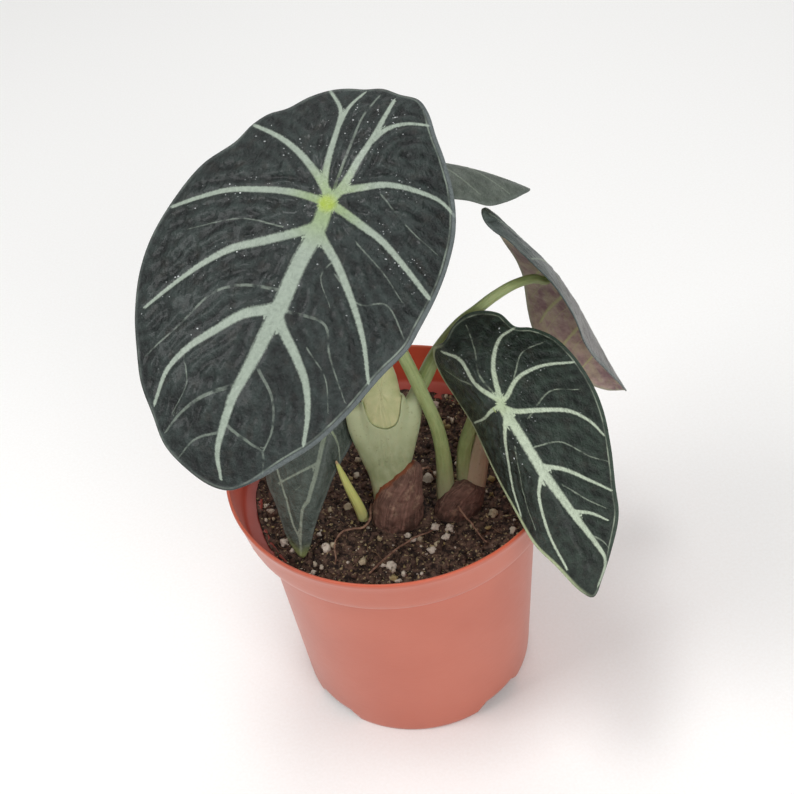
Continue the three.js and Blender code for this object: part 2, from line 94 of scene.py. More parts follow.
# one material: its even values go straight on the shader, the rest is wired in
class Finish:
    def __init__(self, name, look):
        self.material = bpy.data.materials.new(name)
        self.material.use_nodes = True
        self.tree = self.material.node_tree
        self.shader = self.tree.nodes["Principled BSDF"]
        for socket, value in look.items():
            self.shader.inputs[socket].default_value = value

    def add(self, kind, settings=None, inputs=None, output=0):
        node = self.tree.nodes.new("ShaderNode" + kind)
        for key, value in (settings or {}).items():
            setattr(node, key, value)
        for key, value in (inputs or {}).items():
            self.feed(node.inputs[key], value)
        return Wire(self, node.outputs[output])

    def feed(self, socket, value):
        if isinstance(value, Wire):
            self.tree.links.new(value.socket, socket)
        else:
            socket.default_value = value

    def field(self, name, output=2):
        return self.add("Attribute", {"attribute_name": name}, output=output)

    def place(self):
        return self.add("TexCoord", output=3)

    def grain(self, where, scale, detail=3.0, roughness=0.5):
        inputs = {"Vector": where, "Scale": scale, "Detail": detail, "Roughness": roughness}
        return self.add("TexNoise", None, inputs)

    # one coordinate of a place, 0 to 2
    def part(self, where, axis):
        return self.add("SeparateXYZ", None, {0: where}, axis)

    # height above the floor, in millimetres
    def high(self):
        return self.part(self.place(), 2) / mm

    def mix(self, share, first, second):
        return self.add("Mix", {"data_type": "RGBA"}, {0: share, 6: first, 7: second}, 2)

    def stretch(self, where, scale):
        return self.add("VectorMath", {"operation": "MULTIPLY"}, {0: where, 1: scale})

    def paint(self, colour, roughness=None, height=None, depth=0.2, strength=1.0):
        self.feed(self.shader.inputs["Base Color"], colour)
        if roughness is not None:
            self.feed(self.shader.inputs["Roughness"], roughness)
        if height is not None:
            bump = self.add("Bump", None, {"Strength": strength, "Distance": depth * mm, "Height": height})
            self.feed(self.shader.inputs["Normal"], bump)
        return self.material


camera = {
    "place": (4.708, -367.563, 474.389),
    "right": (0.9905, -0.09347, -0.10084),
    "up": (0.1375, 0.67332, 0.72646),
    "back": (0.0, -0.73342, 0.67977),
    "lens": 66.05,
}
studio = {
    "floor": tone(246, 245, 243),
    "floorHalf": 4e3,
    "sky": 0.38,
    "aim": (0, 0, 120),
    "lights": [
        # where it stands, its side and its power
        ((-800, -250, 1050), 500, 6.0),
        ((420, -950, 620), 700, 6.0),
        ((250, 900, 900), 600, 2.6),
        ((-120, -60, 1100), 240, 2.6),
    ],
}


def setStage():
    eye = bpy.data.objects.new("eye", bpy.data.cameras.new("eye"))
    eye.data.lens = camera["lens"]
    eye.data.sensor_width = 36
    eye.data.clip_start = 0.01
    turn = Matrix((camera["right"], camera["up"], camera["back"])).transposed().to_4x4()
    eye.matrix_world = Matrix.Translation(Vector(camera["place"]) * mm) @ turn
    bpy.context.scene.collection.objects.link(eye)
    bpy.context.scene.camera = eye

    for i, (where, side, power) in enumerate(studio["lights"]):
        lamp = bpy.data.lights.new(f"softbox{i}", "AREA")
        lamp.shape = "SQUARE"
        lamp.size = side * mm
        lamp.energy = power
        holder = bpy.data.objects.new(f"softbox{i}", lamp)
        holder.location = Vector(where) * mm
        aim = Vector(studio["aim"]) - Vector(where)
        holder.rotation_euler = aim.to_track_quat("-Z", "Y").to_euler()
        bpy.context.scene.collection.objects.link(holder)

    sky = bpy.data.worlds.new("paleRoom")
    sky.use_nodes = True
    background = sky.node_tree.nodes["Background"]
    background.inputs["Color"].default_value = (1, 1, 1, 1)
    background.inputs["Strength"].default_value = studio["sky"]
    bpy.context.scene.world = sky
    bpy.context.scene.view_settings.view_transform = "Standard"

    wide = studio["floorHalf"]
    corners = [(-wide, -wide, 0), (wide, -wide, 0), (wide, wide, 0), (-wide, wide, 0)]
    floor = makeMesh("floor", corners, [(0, 1, 2, 3)])
    paper = Finish("palePaper", {"Roughness": 0.9, "Specular IOR Level": 0.1})
    speckle = paper.grain(paper.place(), 900).step(0.2, 0.8)
    floor.data.materials.append(paper.paint(paper.mix(speckle, studio["floor"], tone(250, 250, 249))))
    print("stage set")


def makeMesh(name, points, faces, fields=None):
    mesh = bpy.data.meshes.new(name)
    mesh.from_pydata((np.asarray(points, float) * mm).tolist(), [], faces)
    giveFields(mesh, fields or {})
    mesh.shade_smooth()
    made = bpy.data.objects.new(name, mesh)
    bpy.context.scene.collection.objects.link(made)
    return made


def giveFields(mesh, fields):
    for name, values in fields.items():
        values = np.asarray(values, np.float32)
        kind = "FLOAT_VECTOR" if values.ndim == 2 else "FLOAT"
        attribute = mesh.attributes.new(name, kind, "POINT")
        attribute.data.foreach_set("vector" if values.ndim == 2 else "value", values.ravel())


def pointsOf(made):
    co = np.zeros(len(made.data.vertices) * 3, np.float32)
    made.data.vertices.foreach_get("co", co)
    return co.reshape(-1, 3).astype(float) / mm


# hands a finished piece to the frame
def settle(made, slot, nodes, *materials):
    for material in materials:
        made.data.materials.append(material)
    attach(made, "root")
    if nodes:
        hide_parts(*nodes)
    return made


# a smooth line through points, as many samples as asked for
def lineThrough(points, count, closed=False):
    p = np.array(points, float)
    p = np.vstack([p[-1:], p, p[:2]]) if closed else np.vstack([2 * p[0] - p[1], p, 2 * p[-1] - p[-2]])
    place = np.linspace(0, len(p) - 3, count, endpoint=not closed)
    i = np.minimum(place.astype(int), len(p) - 4)
    u = (place - i)[:, None]
    a, b, c, d = p[i], p[i + 1], p[i + 2], p[i + 3]
    g = [np.sqrt(np.linalg.norm(f - e, axis=1) + 1e-9)[:, None] for e, f in ((a, b), (b, c), (c, d))]
    start = ((b - a) / g[0] - (c - a) / (g[0] + g[1]) + (c - b) / g[1]) * g[1]
    end = ((c - b) / g[1] - (d - b) / (g[1] + g[2]) + (d - c) / g[2]) * g[1]
    swing = start * u * (1 - u) ** 2 - end * u * u * (1 - u)
    return b * (1 + 2 * u) * (1 - u) ** 2 + c * u * u * (3 - 2 * u) + swing


# how far each point is from a line of points, and the share of the line it is nearest to
def reachTo(points, line):
    nearest = np.full(len(points), 1e9)
    share = np.zeros(len(points))
    for i in range(len(line) - 1):
        a, step = line[i], line[i + 1] - line[i]
        u = np.clip(((points - a) @ step) / max(step @ step, 1e-12), 0, 1)
        gap = np.linalg.norm(points - a - u[:, None] * step, axis=1)
        closer = gap < nearest
        nearest[closer] = gap[closer]
        share[closer] = ((i + u) / (len(line) - 1))[closer]
    return nearest, share


def smoothStep(x, low, high):
    u = np.clip((np.asarray(x, float) - low) / (high - low), 0, 1)
    return u * u * (3 - 2 * u)


def ripple(points, size, seed=0.0):
    # soft noise, about -1 to 1, at each point
    return np.array([noise.noise(Vector(p) / size + Vector((seed, 2.3 * seed, 0.7 * seed))) for p in points])


def unit(v):
    return v / np.maximum(np.linalg.norm(v, axis=-1, keepdims=True), 1e-9)


# faces round rings of points, closed by two more points: the first ring's centre, then the last ring's
def tubeFaces(sides, rings):
    faces = []
    for i in range(rings - 1):
        for j in range(sides):
            a, b = i * sides + j, i * sides + (j + 1) % sides
            faces.append((a, b, b + sides, a + sides))
    centre, last = sides * rings, sides * (rings - 1)
    for j in range(sides):
        k = (j + 1) % sides
        faces.append((centre, k, j))
        faces.append((centre + 1, last + j, last + k))
    return faces


# points and faces of a stem along stations (x, y, z, half width, half depth)
def stemShape(stations, sides=28, steps=64, grow=0.0, rough=None):
    rows = np.array(stations, float)
    spread = np.concatenate([[0, 0.2, 0.6], np.arange(1, steps), steps - np.array([0.6, 0.2, 0])]) / steps
    scale = np.concatenate([[0.5, 0.82, 0.95], np.ones(steps - 1), [0.95, 0.82, 0.5]])
    dense = lineThrough(rows, 40 * steps + 1)
    pick = np.round(spread * 40 * steps).astype(int)
    centre, size = dense[pick, :3], dense[pick, 3:5]
    along = unit(np.gradient(dense[:, :3], axis=0))[pick]
    depth = unit(np.array([0, 1, 0]) - along * along[:, 1:2])
    side = np.cross(depth, along)
    angle = np.arange(sides) / sides * 2 * math.pi
    reach = (size * scale[:, None] + grow)[:, None, :]
    if rough is not None:
        reach = reach * rough(spread[:, None], angle[None, :])[:, :, None]
    ring = centre[:, None, :] + side[:, None, :] * (reach[:, :, 0] * np.cos(angle))[:, :, None]
    ring = ring + depth[:, None, :] * (reach[:, :, 1] * np.sin(angle))[:, :, None]
    points = np.vstack([ring.reshape(-1, 3), centre[0] - along[0] * 0.2, centre[-1] + along[-1] * 0.2])
    share = np.append(np.repeat(spread, sides), [0, 1])
    length = np.linalg.norm(np.diff(dense[:, :3], axis=0), axis=1).sum()
    turn = np.append(np.tile(angle, len(spread)), [0, 0])
    streak = np.stack([np.cos(turn), np.sin(turn), share * length * 0.06], 1)
    return points, tubeFaces(sides, len(spread)), {"share": share, "streak": streak}


# one mesh from several shapes
def together(shapes):
    points, faces, fields, start = [], [], {}, 0
    for shapePoints, shapeFaces, shapeFields in shapes:
        points.append(shapePoints)
        faces += [tuple(k + start for k in face) for face in shapeFaces]
        for key, values in shapeFields.items():
            fields.setdefault(key, []).append(values)
        start += len(shapePoints)
    return np.vstack(points), faces, {key: np.concatenate(values) for key, values in fields.items()}


# turns a made object's modifiers into its mesh
def baked(made):
    graph = bpy.context.evaluated_depsgraph_get()
    mesh = bpy.data.meshes.new_from_object(made.evaluated_get(graph))
    made.modifiers.clear()
    old, made.data = made.data, mesh
    bpy.data.meshes.remove(old)
    made.data.shade_smooth()
    return made


pot = {
    "outside": [
        (0, 0), (30, 0), (42.9, 0), (43.8, 0.25), (44.35, 0.9), (44.55, 2), (44.9, 6), (47.05, 36),
        (49.35, 68), (50.55, 85), (50.85, 86.6), (51.7, 87.7), (53.2, 88.3), (55, 88.7), (56.2, 89.3),
        (56.9, 90.4), (57.5, 92.4), (59.4, 103), (59.75, 103.8), (60, 104.6), (60, 105.4), (59.75, 105.85),
        (59.35, 106),
    ],
    "inside": [
        (58.98, 105.85), (58.8, 105.3), (58.4, 102), (56.2, 91.4), (55.7, 90.6), (54.8, 90.15),
        (50.3, 88.7), (49.6, 88.3), (49.35, 87.5), (49.1, 84), (43.4, 7.2), (42.9, 4), (41.6, 2.35),
        (36.5, 2), (0, 2),
    ],
    "high": 106,
    "baseThick": 2,
    "sides": 288,
    "spacing": 3.4,
    "notches": 4,
    "notchTurn": 40,
    "notchHigh": 4.7,
    "outsideTone": tone(182, 97, 76),
    "outsidePale": tone(194, 111, 90),
    # the inside wall is painted light: a saturated tone for bounced light, darkening into painted shade near
    # the mix
    "insideBounceTone": tone(204, 82, 56),
    "insideShadowTone": tone(150, 54, 40),
    # painted glow: the rim's top edge is coloured as if lit through the wall
    "rimGlowTone": tone(188, 86, 58),
}


def makePot():
    corners = pot["outside"] + pot["inside"]
    profile = [corners[0]]
    for a, b in zip(corners, corners[1:]):
        parts = max(1, math.ceil(math.dist(a, b) / pot["spacing"]))
        steps = range(1, parts + 1)
        profile += [(a[0] + (b[0] - a[0]) * k / parts, a[1] + (b[1] - a[1]) * k / parts) for k in steps]
    profile = np.array(profile[1:-1])
    sides = pot["sides"]
    angle = np.arange(sides) / sides * 2 * math.pi
    sway = 1 + 0.0012 * np.sin(2 * angle + 0.6) + 0.0006 * np.sin(5 * angle)
    radius = profile[:, :1] * (1 + (sway[None, :] - 1) * (profile[:, 1:] / pot["high"]))
    level = np.repeat(profile[:, 1:], sides, 1)
    points = np.stack([radius * np.cos(angle), radius * np.sin(angle), level], 2)
    points = np.vstack([points.reshape(-1, 3), (0, 0, 0), (0, 0, pot["baseThick"])])
    made = makeMesh("nurseryPot", points, tubeFaces(sides, len(profile)))

    blocks = [makeNotch(pot["notchTurn"] + 360 / pot["notches"] * n) for n in range(pot["notches"])]
    for block in blocks:
        cut = made.modifiers.new("notch", "BOOLEAN")
        cut.operation = "DIFFERENCE"
        cut.object = block
    baked(made)
    for block in blocks:
        bpy.data.objects.remove(block)

    place = pointsOf(made)
    radius, height = np.hypot(place[:, 0], place[:, 1]), place[:, 2]
    innerSide = radius < np.interp(height, [0, 88, 88.6, 92, 104, 106], [44, 50.2, 56, 56.8, 59.2, 59.4])
    giveFields(made.data, {"inner": (innerSide & (height > 1.9)).astype(float)})
    look = {"Specular IOR Level": 0.45, "Sheen Weight": 0.18, "Sheen Roughness": 0.4}
    plastic = Finish("terracottaPlastic", look)
    where = plastic.place()
    cloud = plastic.grain(where, 26).step(0.3, 0.7)
    height = plastic.high()
    outer = plastic.mix(cloud * 0.5, pot["outsideTone"], pot["outsidePale"])
    # painted light inside the pot: bounce light on the wall, turning to painted shade from 97 mm down to the
    # mix
    inner = plastic.mix(height.step(97, 87), pot["insideBounceTone"], pot["insideShadowTone"])
    colour = plastic.mix(plastic.field("inner"), outer, inner)
    # painted glow of light through the wall along the rim's top
    colour = plastic.mix(height.step(105.2, 105.8), colour, pot["rimGlowTone"])
    scuff = plastic.grain(plastic.stretch(where, (1, 1, 6)), 220, 4)
    chalk = plastic.grain(where, 900, 4, 0.7).step(0.7, 0.8) * plastic.grain(where, 60, 2).step(0.5, 0.68)
    colour = plastic.mix(chalk * 0.45, colour, tone(222, 176, 164))
    fine = plastic.grain(where, 1500, 2)
    plastic.paint(colour, scuff * 0.16 + 0.36, fine * 0.6 + cloud * 0.4, depth=0.05)
    settle(made, "pot_plastic", ["pot"], plastic.material)
    print("pot made")


# the block that cuts one drainage notch into the pot's foot
def makeNotch(degrees):
    edge = [
        (-12.5, -1), (12, -1), (10.4, 1.4), (6.6, pot["notchHigh"]), (-7.4, pot["notchHigh"]), (-11, 1.4),
    ]
    c, s = math.cos(degrees * deg), math.sin(degrees * deg)
    points = [(x * c - y * s, x * s + y * c, z) for x in (40.5, 48.5) for y, z in edge]
    around = [(k, (k + 1) % 6, (k + 1) % 6 + 6, k + 6) for k in range(6)]
    return makeMesh("notch", points, [*around, (5, 4, 3, 2, 1, 0), (6, 7, 8, 9, 10, 11)])


# Leaf blades. Rows hold s along the midrib, then heading, pitch, roll, left and right fold, and left and
# right curl, in degrees.
# Veins hold half widths at start and end, then points (s, t) with t to the left of the midrib.
mauveBack = {"deep": tone(128, 108, 110), "soft": tone(150, 134, 120), "vein": tone(156, 160, 112)}
leaves = {
    1: {
        "attach": (-8.5, 5, 214),
        "width": 100,
        "rings": 112,
        "rows": [
            (-46, -134, 12, 16, 4, 4, 24, 20), (0, -130, 30, 16, 2, 2, 18, 16),
            (50, -125, 40, 14, 2, 2, 16, 16), (96, -122, 48, 12, 2, 2, 14, 14),
        ],
        "outline": [
            (94, 0), (92, -4), (88, -9), (82, -15), (73, -23), (61, -30), (46, -36), (34, -41), (27, -42),
            (13, -43), (0, -42), (-12, -39), (-23, -33), (-32, -25), (-38, -18), (-44, -11), (-46, -6),
            (-44, 0), (-43, 6), (-40, 11), (-38, 16), (-35, 21), (-30, 26), (-24, 30), (-20, 35), (-15, 38),
            (-8, 40), (2, 47), (15, 51), (28, 53), (39, 52), (51, 48), (61, 43), (70, 38), (78, 31),
            (86, 24), (91, 15), (94, 6),
        ],
        "veins": [
            (2.3, 2.5, [(0, 0), (9, -1), (20, 0), (35, 0.5)]),
            (2.5, 1.4, [(35, 0.5), (52, 3), (66, 6)]), (1.4, 0.4, [(66, 6), (77, 6.5), (84, 6), (91, 3)]),
            (1.4, 0.5, [(-3, 1), (-7, 7), (-11.5, 16.5), (-14, 26), (-15, 37)]),
            (1.3, 0.5, [(0, 1), (0, 4), (1, 13), (4, 24), (7, 33), (12, 42), (17, 50)]),
            (1.7, 0.45, [(6, -1), (9, 1), (17.5, 13), (23.5, 23), (30, 30), (38, 37), (48, 45)]),
            (1.9, 0.45, [(32, 0), (36, 2), (41, 11), (48, 18), (56, 25.5), (64, 30), (75, 31)]),
            (1.3, 0.4, [(-2, 1), (-6, 4), (-14, 7), (-24, 10), (-30, 13), (-35, 21)]),
            (0.8, 0.3, [(-24, 10), (-30, 11), (-34, 11), (-39, 10)]),
            (1.4, 0.5, [(-2, -1), (-8, -2), (-17, -2), (-26, -2), (-34, -1), (-41, 0)]),
            (0.9, 0.35, [(-24, -2), (-31, -4), (-36, -8), (-40, -14)]),
            (1.4, 0.45, [(-1, -1), (-5, -2), (-9, -7), (-14, -14), (-17, -23), (-18, -31), (-16, -37)]),
            (1.5, 0.7, [(0, -1), (0, -3), (2, -13), (4, -21), (9, -31), (15, -41)]),
            (1.7, 0.45, [(4, -1), (8, -1), (17.5, -12), (27.5, -21), (37, -27.5), (49, -33)]),
            (1.9, 0.5, [(32, 0), (38, 0), (48, -9), (55, -14.5), (64, -18), (74, -19.5)]),
        ],
        "thinVeins": [
            (0.5, 0.2, [(30.5, 2.5), (33, 15), (38, 23), (49, 30), (62, 39)]),
            (0.6, 0.3, [(62, 6), (69, 16), (75, 21), (82, 24.5)]),
            (0.4, 0.2, [(77.5, 7), (81.5, 14), (88, 18)]),
            (0.5, 0.25, [(-4, 0), (-10, 1), (-21, 3), (-31, 5), (-40, 5)]),
            (0.3, 0.2, [(20, -12), (26, -22), (23, -30), (32, -39.5)]),
            (0.5, 0.15, [(36, -2), (36, -14.5), (44.5, -19), (57.5, -28)]),
            (0.6, 0.2, [(52, 2), (55, 1), (62.5, -6), (72, -9), (80, -8)]),
            (0.6, 0.2, [(70, 6), (74, 6), (78, -3), (80, -8), (86, -9.5)]),
            (0.25, 0.12, [(58, 26), (66, 22), (76, 24)]), (0.25, 0.12, [(15, -10), (22, -8), (30, -14)]),
            (0.25, 0.12, [(8, -14), (14, -26), (20, -34)]), (0.25, 0.12, [(12, 10), (14, 24), (22, 40)]),
            (0.25, 0.12, [(45, -12), (52, -20), (62, -24)]),
            (0.25, 0.12, [(-10, -14), (-4, -26), (0, -38)]),
        ],
        "quilt": 0.75,
        "relief": 0.62,
        "mark": 1.0,
        "spot": 1.0,
        "tones": {
            "deep": tone(5, 8, 8), "soft": tone(50, 60, 57), "vein": tone(158, 170, 156),
            "young": tone(146, 166, 122),
        },
        "backTones": mauveBack,
    },
    2: {
        "attach": (37.4, -29, 150.7),
        "width": 74,
        "rings": 84,
        "rows": [
            (-40, -60, 12, -2, 86, 6, 10, 20), (-15, -60, 24, -2, 88, 2, 10, 18),
            (0, -60, 31, -2, 86, 2, 10, 16), (45, -60, 50, -2, 60, 4, 12, 16),
            (76, -60, 64, -2, 28, 6, 14, 16),
        ],
        "outline": [
            (70, 3), (66, -2), (60, -9), (51, -18), (42, -22), (30, -28), (18, -33), (8, -35), (-4, -35),
            (-13, -33), (-19, -28), (-22, -23), (-29, -22), (-33, -17), (-34, -11), (-32, -4), (-29, 2),
            (-32, 8), (-31, 14), (-25, 19), (-14, 22), (-4, 23), (7, 23), (19, 22), (34, 19), (47, 16),
            (56, 11), (67, 6),
        ],
        "veins": [
            (1.4, 1.5, [(0, 0), (10, 0), (25, 0)]), (1.5, 0.8, [(25, 0), (42, -2.5), (53, -5)]),
            (0.8, 0.3, [(53, -5), (61, -6), (67, 0)]),
            (0.9, 0.3, [(-0.5, -0.5), (-12.5, -6), (-20, -14.5), (-21.5, -22.5)]),
            (0.9, 0.35, [(-1, -1), (-1.5, -3.5), (-5, -10.5), (-5, -20.5), (-1, -33)]),
            (0.95, 0.35, [(2, -1), (4, -3), (8, -11.5), (13, -20.5), (19.5, -25.5), (25.5, -27.5)]),
            (0.9, 0.3, [(22, 0), (23.5, -1), (28, -7), (36, -14), (42.5, -19.5)]),
            (0.6, 0.25, [(41, -2.5), (45, -8.5), (50, -13)]),
            (0.9, 0.3, [(2, 0), (3.5, 0.5), (12.5, 8), (25, 15), (36, 17)]),
            (0.8, 0.3, [(22, 0), (24.5, 0), (32, 5.5), (45, 8.5), (58, 7.5)]),
            (1.0, 0.35, [(0, 0), (-1, -0.5), (-10.5, 3), (-20.5, 2), (-28, 6)]),
            (0.7, 0.3, [(0, 0), (-0.5, 5), (-0.5, 10), (-3, 20)]),
        ],
        "thinVeins": [
            (0.35, 0.15, [(-1, -1), (-12, 0), (-20, -4), (-30, -8)]),
            (0.3, 0.15, [(-8, 2), (-18, 9), (-26, 13)]), (0.3, 0.12, [(8, -6), (4, -18), (8, -28)]),
            (0.25, 0.12, [(17, -2), (20, -11), (29, -18), (34, -24)]),
            (0.25, 0.12, [(32, -4), (40, -9), (47, -15)]),
            (0.25, 0.12, [(14, 4), (22, 8), (32, 12), (42, 13)]),
            (0.3, 0.12, [(50, -4), (55, -8), (58, -9)]), (0.25, 0.12, [(-6, -10), (-12, -18), (-12, -28)]),
        ],
        "quilt": 0.6,
        "relief": 0.48,
        "mark": 1.0,
        "border": tone(58, 74, 62),
        "paleEdge": tone(160, 170, 134),
        "tones": {
            "deep": tone(9, 15, 11), "soft": tone(50, 63, 54), "vein": tone(188, 200, 178),
            "young": tone(182, 196, 168),
        },
        "backTones": mauveBack,
    },
    3: {
        "attach": (62.8, 23, 162.6),
        "width": 66,
        "rings": 80,
        "rows": [
            (-46, -10, -10, 10, 40, -10, 10, 4), (-37, -10, 30, 24, 34, -10, 10, 4),
            (-28, -10, 53, 35, 28, 0, 8, 6), (-15, -5, 52, 38, 24, 10, 6, 6), (0, 8, 60, 22, 23, 20, 6, 8),
            (15, 18, 66, 5, 22, 28, 6, 10), (40, 26, 69, -6, 21, 42, 6, 10),
            (84, 28, 65, -4, 17, 60, 6, 10),
        ],
        "outline": [
            (80, 1), (82, -3), (81, -7), (78, -10), (72, -14), (65, -18), (54, -22), (42, -24), (30, -23),
            (17, -20), (5, -16), (-6, -13), (-16, -11), (-24, -9), (-30, -6), (-33, -1), (-36, 3), (-35, 8),
            (-31, 12), (-26, 13), (-21, 17), (-15, 22), (-6, 25), (6, 26), (18, 24), (30, 20), (43, 15),
            (55, 11), (66, 7), (75, 4),
        ],
        "veins": [
            (1.2, 1.1, [(0, 0), (14, 0), (30, 0)]), (1.1, 0.35, [(30, 0), (50, 0.5), (66, 0), (75, -1)]),
            (0.8, 0.3, [(-2, 0), (-12, 2), (-24, 4), (-33, 4)]),
            (0.7, 0.3, [(0, -0.5), (2, -5), (8, -12), (14, -18)]),
            (0.7, 0.3, [(0, -0.5), (-8, -4), (-16, -8)]),
            (0.8, 0.3, [(14, 0), (20, -6), (28, -14), (36, -20)]),
            (0.7, 0.3, [(32, 0), (40, -7), (49, -15), (55, -19)]),
            (0.6, 0.25, [(50, 0), (57, -6), (64, -13)]), (0.7, 0.3, [(0, 0.5), (0, 10), (4, 20)]),
            (0.7, 0.3, [(12, 0), (17, 8), (26, 17)]), (0.6, 0.3, [(30, 0), (38, 6), (48, 11)]),
            (0.6, 0.3, [(-3, 1), (-12, 10), (-18, 17)]),
        ],
        "thinVeins": [
            (0.25, 0.12, [(6, -4), (14, -12), (22, -19)]), (0.25, 0.12, [(24, -3), (32, -12), (42, -20)]),
            (0.25, 0.12, [(42, -3), (52, -12), (60, -17)]), (0.25, 0.12, [(8, 4), (14, 12), (18, 21)]),
        ],
        "quilt": 0.4,
        "relief": 0.24,
        "mark": 0.55,
        "fold": tone(122, 108, 108),
        "tones": {
            "deep": tone(44, 54, 52), "soft": tone(92, 102, 98), "vein": tone(150, 162, 146),
            "young": tone(150, 168, 128),
        },
        "backTones": {"deep": tone(124, 98, 104), "soft": tone(168, 150, 140), "vein": tone(172, 176, 128)},
        # the grey-green tint on the left half of the underside is painted sheen
        "sheenHalf": 1,
    },
    4: {
        "attach": (16, 40, 203.4),
        "width": 46,
        "rings": 60,
        "rows": [
            (-26, -2, 4, 30, 24, 24, 20, 20), (0, -2, 10, 30, 24, 24, 20, 20),
            (30, -2, 27, 30, 24, 24, 20, 20), (50, -2, 36, 30, 24, 24, 20, 20),
        ],
        "outline": [
            (47, 0), (41, -8), (33, -15), (22, -19), (10, -20), (-2, -18), (-12, -14), (-19, -8), (-18, 0),
            (-19, 8), (-12, 15), (-2, 19), (10, 21), (22, 20), (29, 20), (34, 17), (41, 10),
        ],
        "veins": [
            (0.9, 0.3, [(0, 0), (16, 0), (32, 0), (44, 0)]), (0.5, 0.2, [(0, 0), (6, -8), (16, -16)]),
            (0.5, 0.2, [(10, 0), (18, -7), (28, -13)]), (0.45, 0.2, [(22, 0), (30, -5), (37, -9)]),
            (0.5, 0.2, [(0, 0), (6, 8), (14, 17)]), (0.5, 0.2, [(10, 0), (18, 8), (26, 16)]),
            (0.45, 0.2, [(22, 0), (30, 6), (37, 11)]), (0.5, 0.2, [(0, 0), (-8, -6), (-14, -9)]),
            (0.5, 0.2, [(0, 0), (-8, 6), (-14, 9)]),
        ],
        "thinVeins": [
            (0.2, 0.1, [(4, -2), (12, -10), (22, -16)]), (0.2, 0.1, [(16, -2), (24, -8), (33, -12)]),
            (0.2, 0.1, [(4, 2), (12, 10), (20, 17)]), (0.2, 0.1, [(16, 2), (24, 8), (32, 15)]),
        ],
        "quilt": 0.3,
        "relief": 0.2,
        "mark": 0.35,
        # leaf 4's tones are lighter and greyer than the other leaves': painted sheen
        "tones": {
            "deep": tone(70, 79, 70), "soft": tone(104, 112, 102), "vein": tone(144, 154, 138),
            "young": tone(150, 168, 128),
        },
        "backTones": {
            "deep": tone(120, 112, 100), "soft": tone(140, 136, 112), "vein": tone(160, 168, 116),
        },
    },
    5: {
        "attach": (-17.4, 2.7, 133),
        "width": 54,
        "rings": 66,
        "rows": [
            (-28, -123, 30, 0, 10, 70, 20, 5), (0, -123, 42, 0, 10, 75, 20, 5),
            (56, -121, 62, 0, 10, 75, 20, 5),
        ],
        "outline": [
            (57, 0), (53, -2), (45, -3), (36, -5), (25, -8), (14, -13), (4, -16), (-6, -16), (-15, -13),
            (-21, -7), (-19, 0), (-22, 8), (-17, 17), (-8, 22), (4, 26), (18, 28), (28, 27), (36, 23),
            (41, 17), (47, 12), (52, 8), (56, 3),
        ],
        "veins": [
            (0.9, 0.7, [(0, 0), (12, 0), (25, 0), (36, 1)]),
            (0.7, 0.4, [(36, 1), (39, 2.6), (49, 2), (56, 1)]),
            (0.5, 0.3, [(24, 24), (31, 17), (39, 10.5), (46, 6), (50, 2.5), (54, 1)]),
            (0.5, 0.25, [(8, 0), (12, 8), (18, 17), (22, 25)]), (0.5, 0.25, [(0, 0), (2, 12), (4, 24)]),
            (0.5, 0.25, [(22, 0), (28, 8), (34, 16)]), (0.5, 0.25, [(0, 0), (-10, 8), (-14, 14)]),
            (0.45, 0.2, [(8, 0), (14, -6), (20, -9)]), (0.45, 0.2, [(0, 0), (-2, -8), (0, -15)]),
        ],
        "thinVeins": [(0.2, 0.1, [(14, 2), (20, 12), (28, 20)]), (0.2, 0.1, [(28, 2), (36, 9), (41, 13)])],
        "quilt": 0.35,
        "relief": 0.2,
        "mark": 0.34,
        "tones": {
            "deep": tone(58, 68, 62), "soft": tone(92, 102, 94), "vein": tone(178, 190, 170),
            "young": tone(172, 190, 120),
        },
        "backTones": {
            "deep": tone(128, 112, 108), "soft": tone(144, 134, 116), "vein": tone(158, 164, 116),
        },
        "brightTip": 1,
    },
}
bladeThick = 0.9
midribCrease = 2.6
keelHigh = 0.45
thinKeelHigh = 0.12
edgeRound = 0.16


def readRows(rows, x):
    r = np.array(rows, float)
    x = np.clip(np.asarray(x, float), r[0, 0], r[-1, 0])
    i = np.clip(np.searchsorted(r[:, 0], x, side="right") - 1, 0, len(r) - 2)
    low, high = np.maximum(np.arange(len(r)) - 1, 0), np.minimum(np.arange(len(r)) + 1, len(r) - 1)
    slope = (r[high, 1:] - r[low, 1:]) / (r[high, 0] - r[low, 0])[:, None]
    span = (r[i + 1, 0] - r[i, 0])[:, None]
    u = (x - r[i, 0])[:, None] / span
    value = r[i, 1:] * (1 + 2 * u) * (1 - u) ** 2 + r[i + 1, 1:] * u * u * (3 - 2 * u)
    return value + slope[i] * span * u * (1 - u) ** 2 - slope[i + 1] * span * u * u * (1 - u)


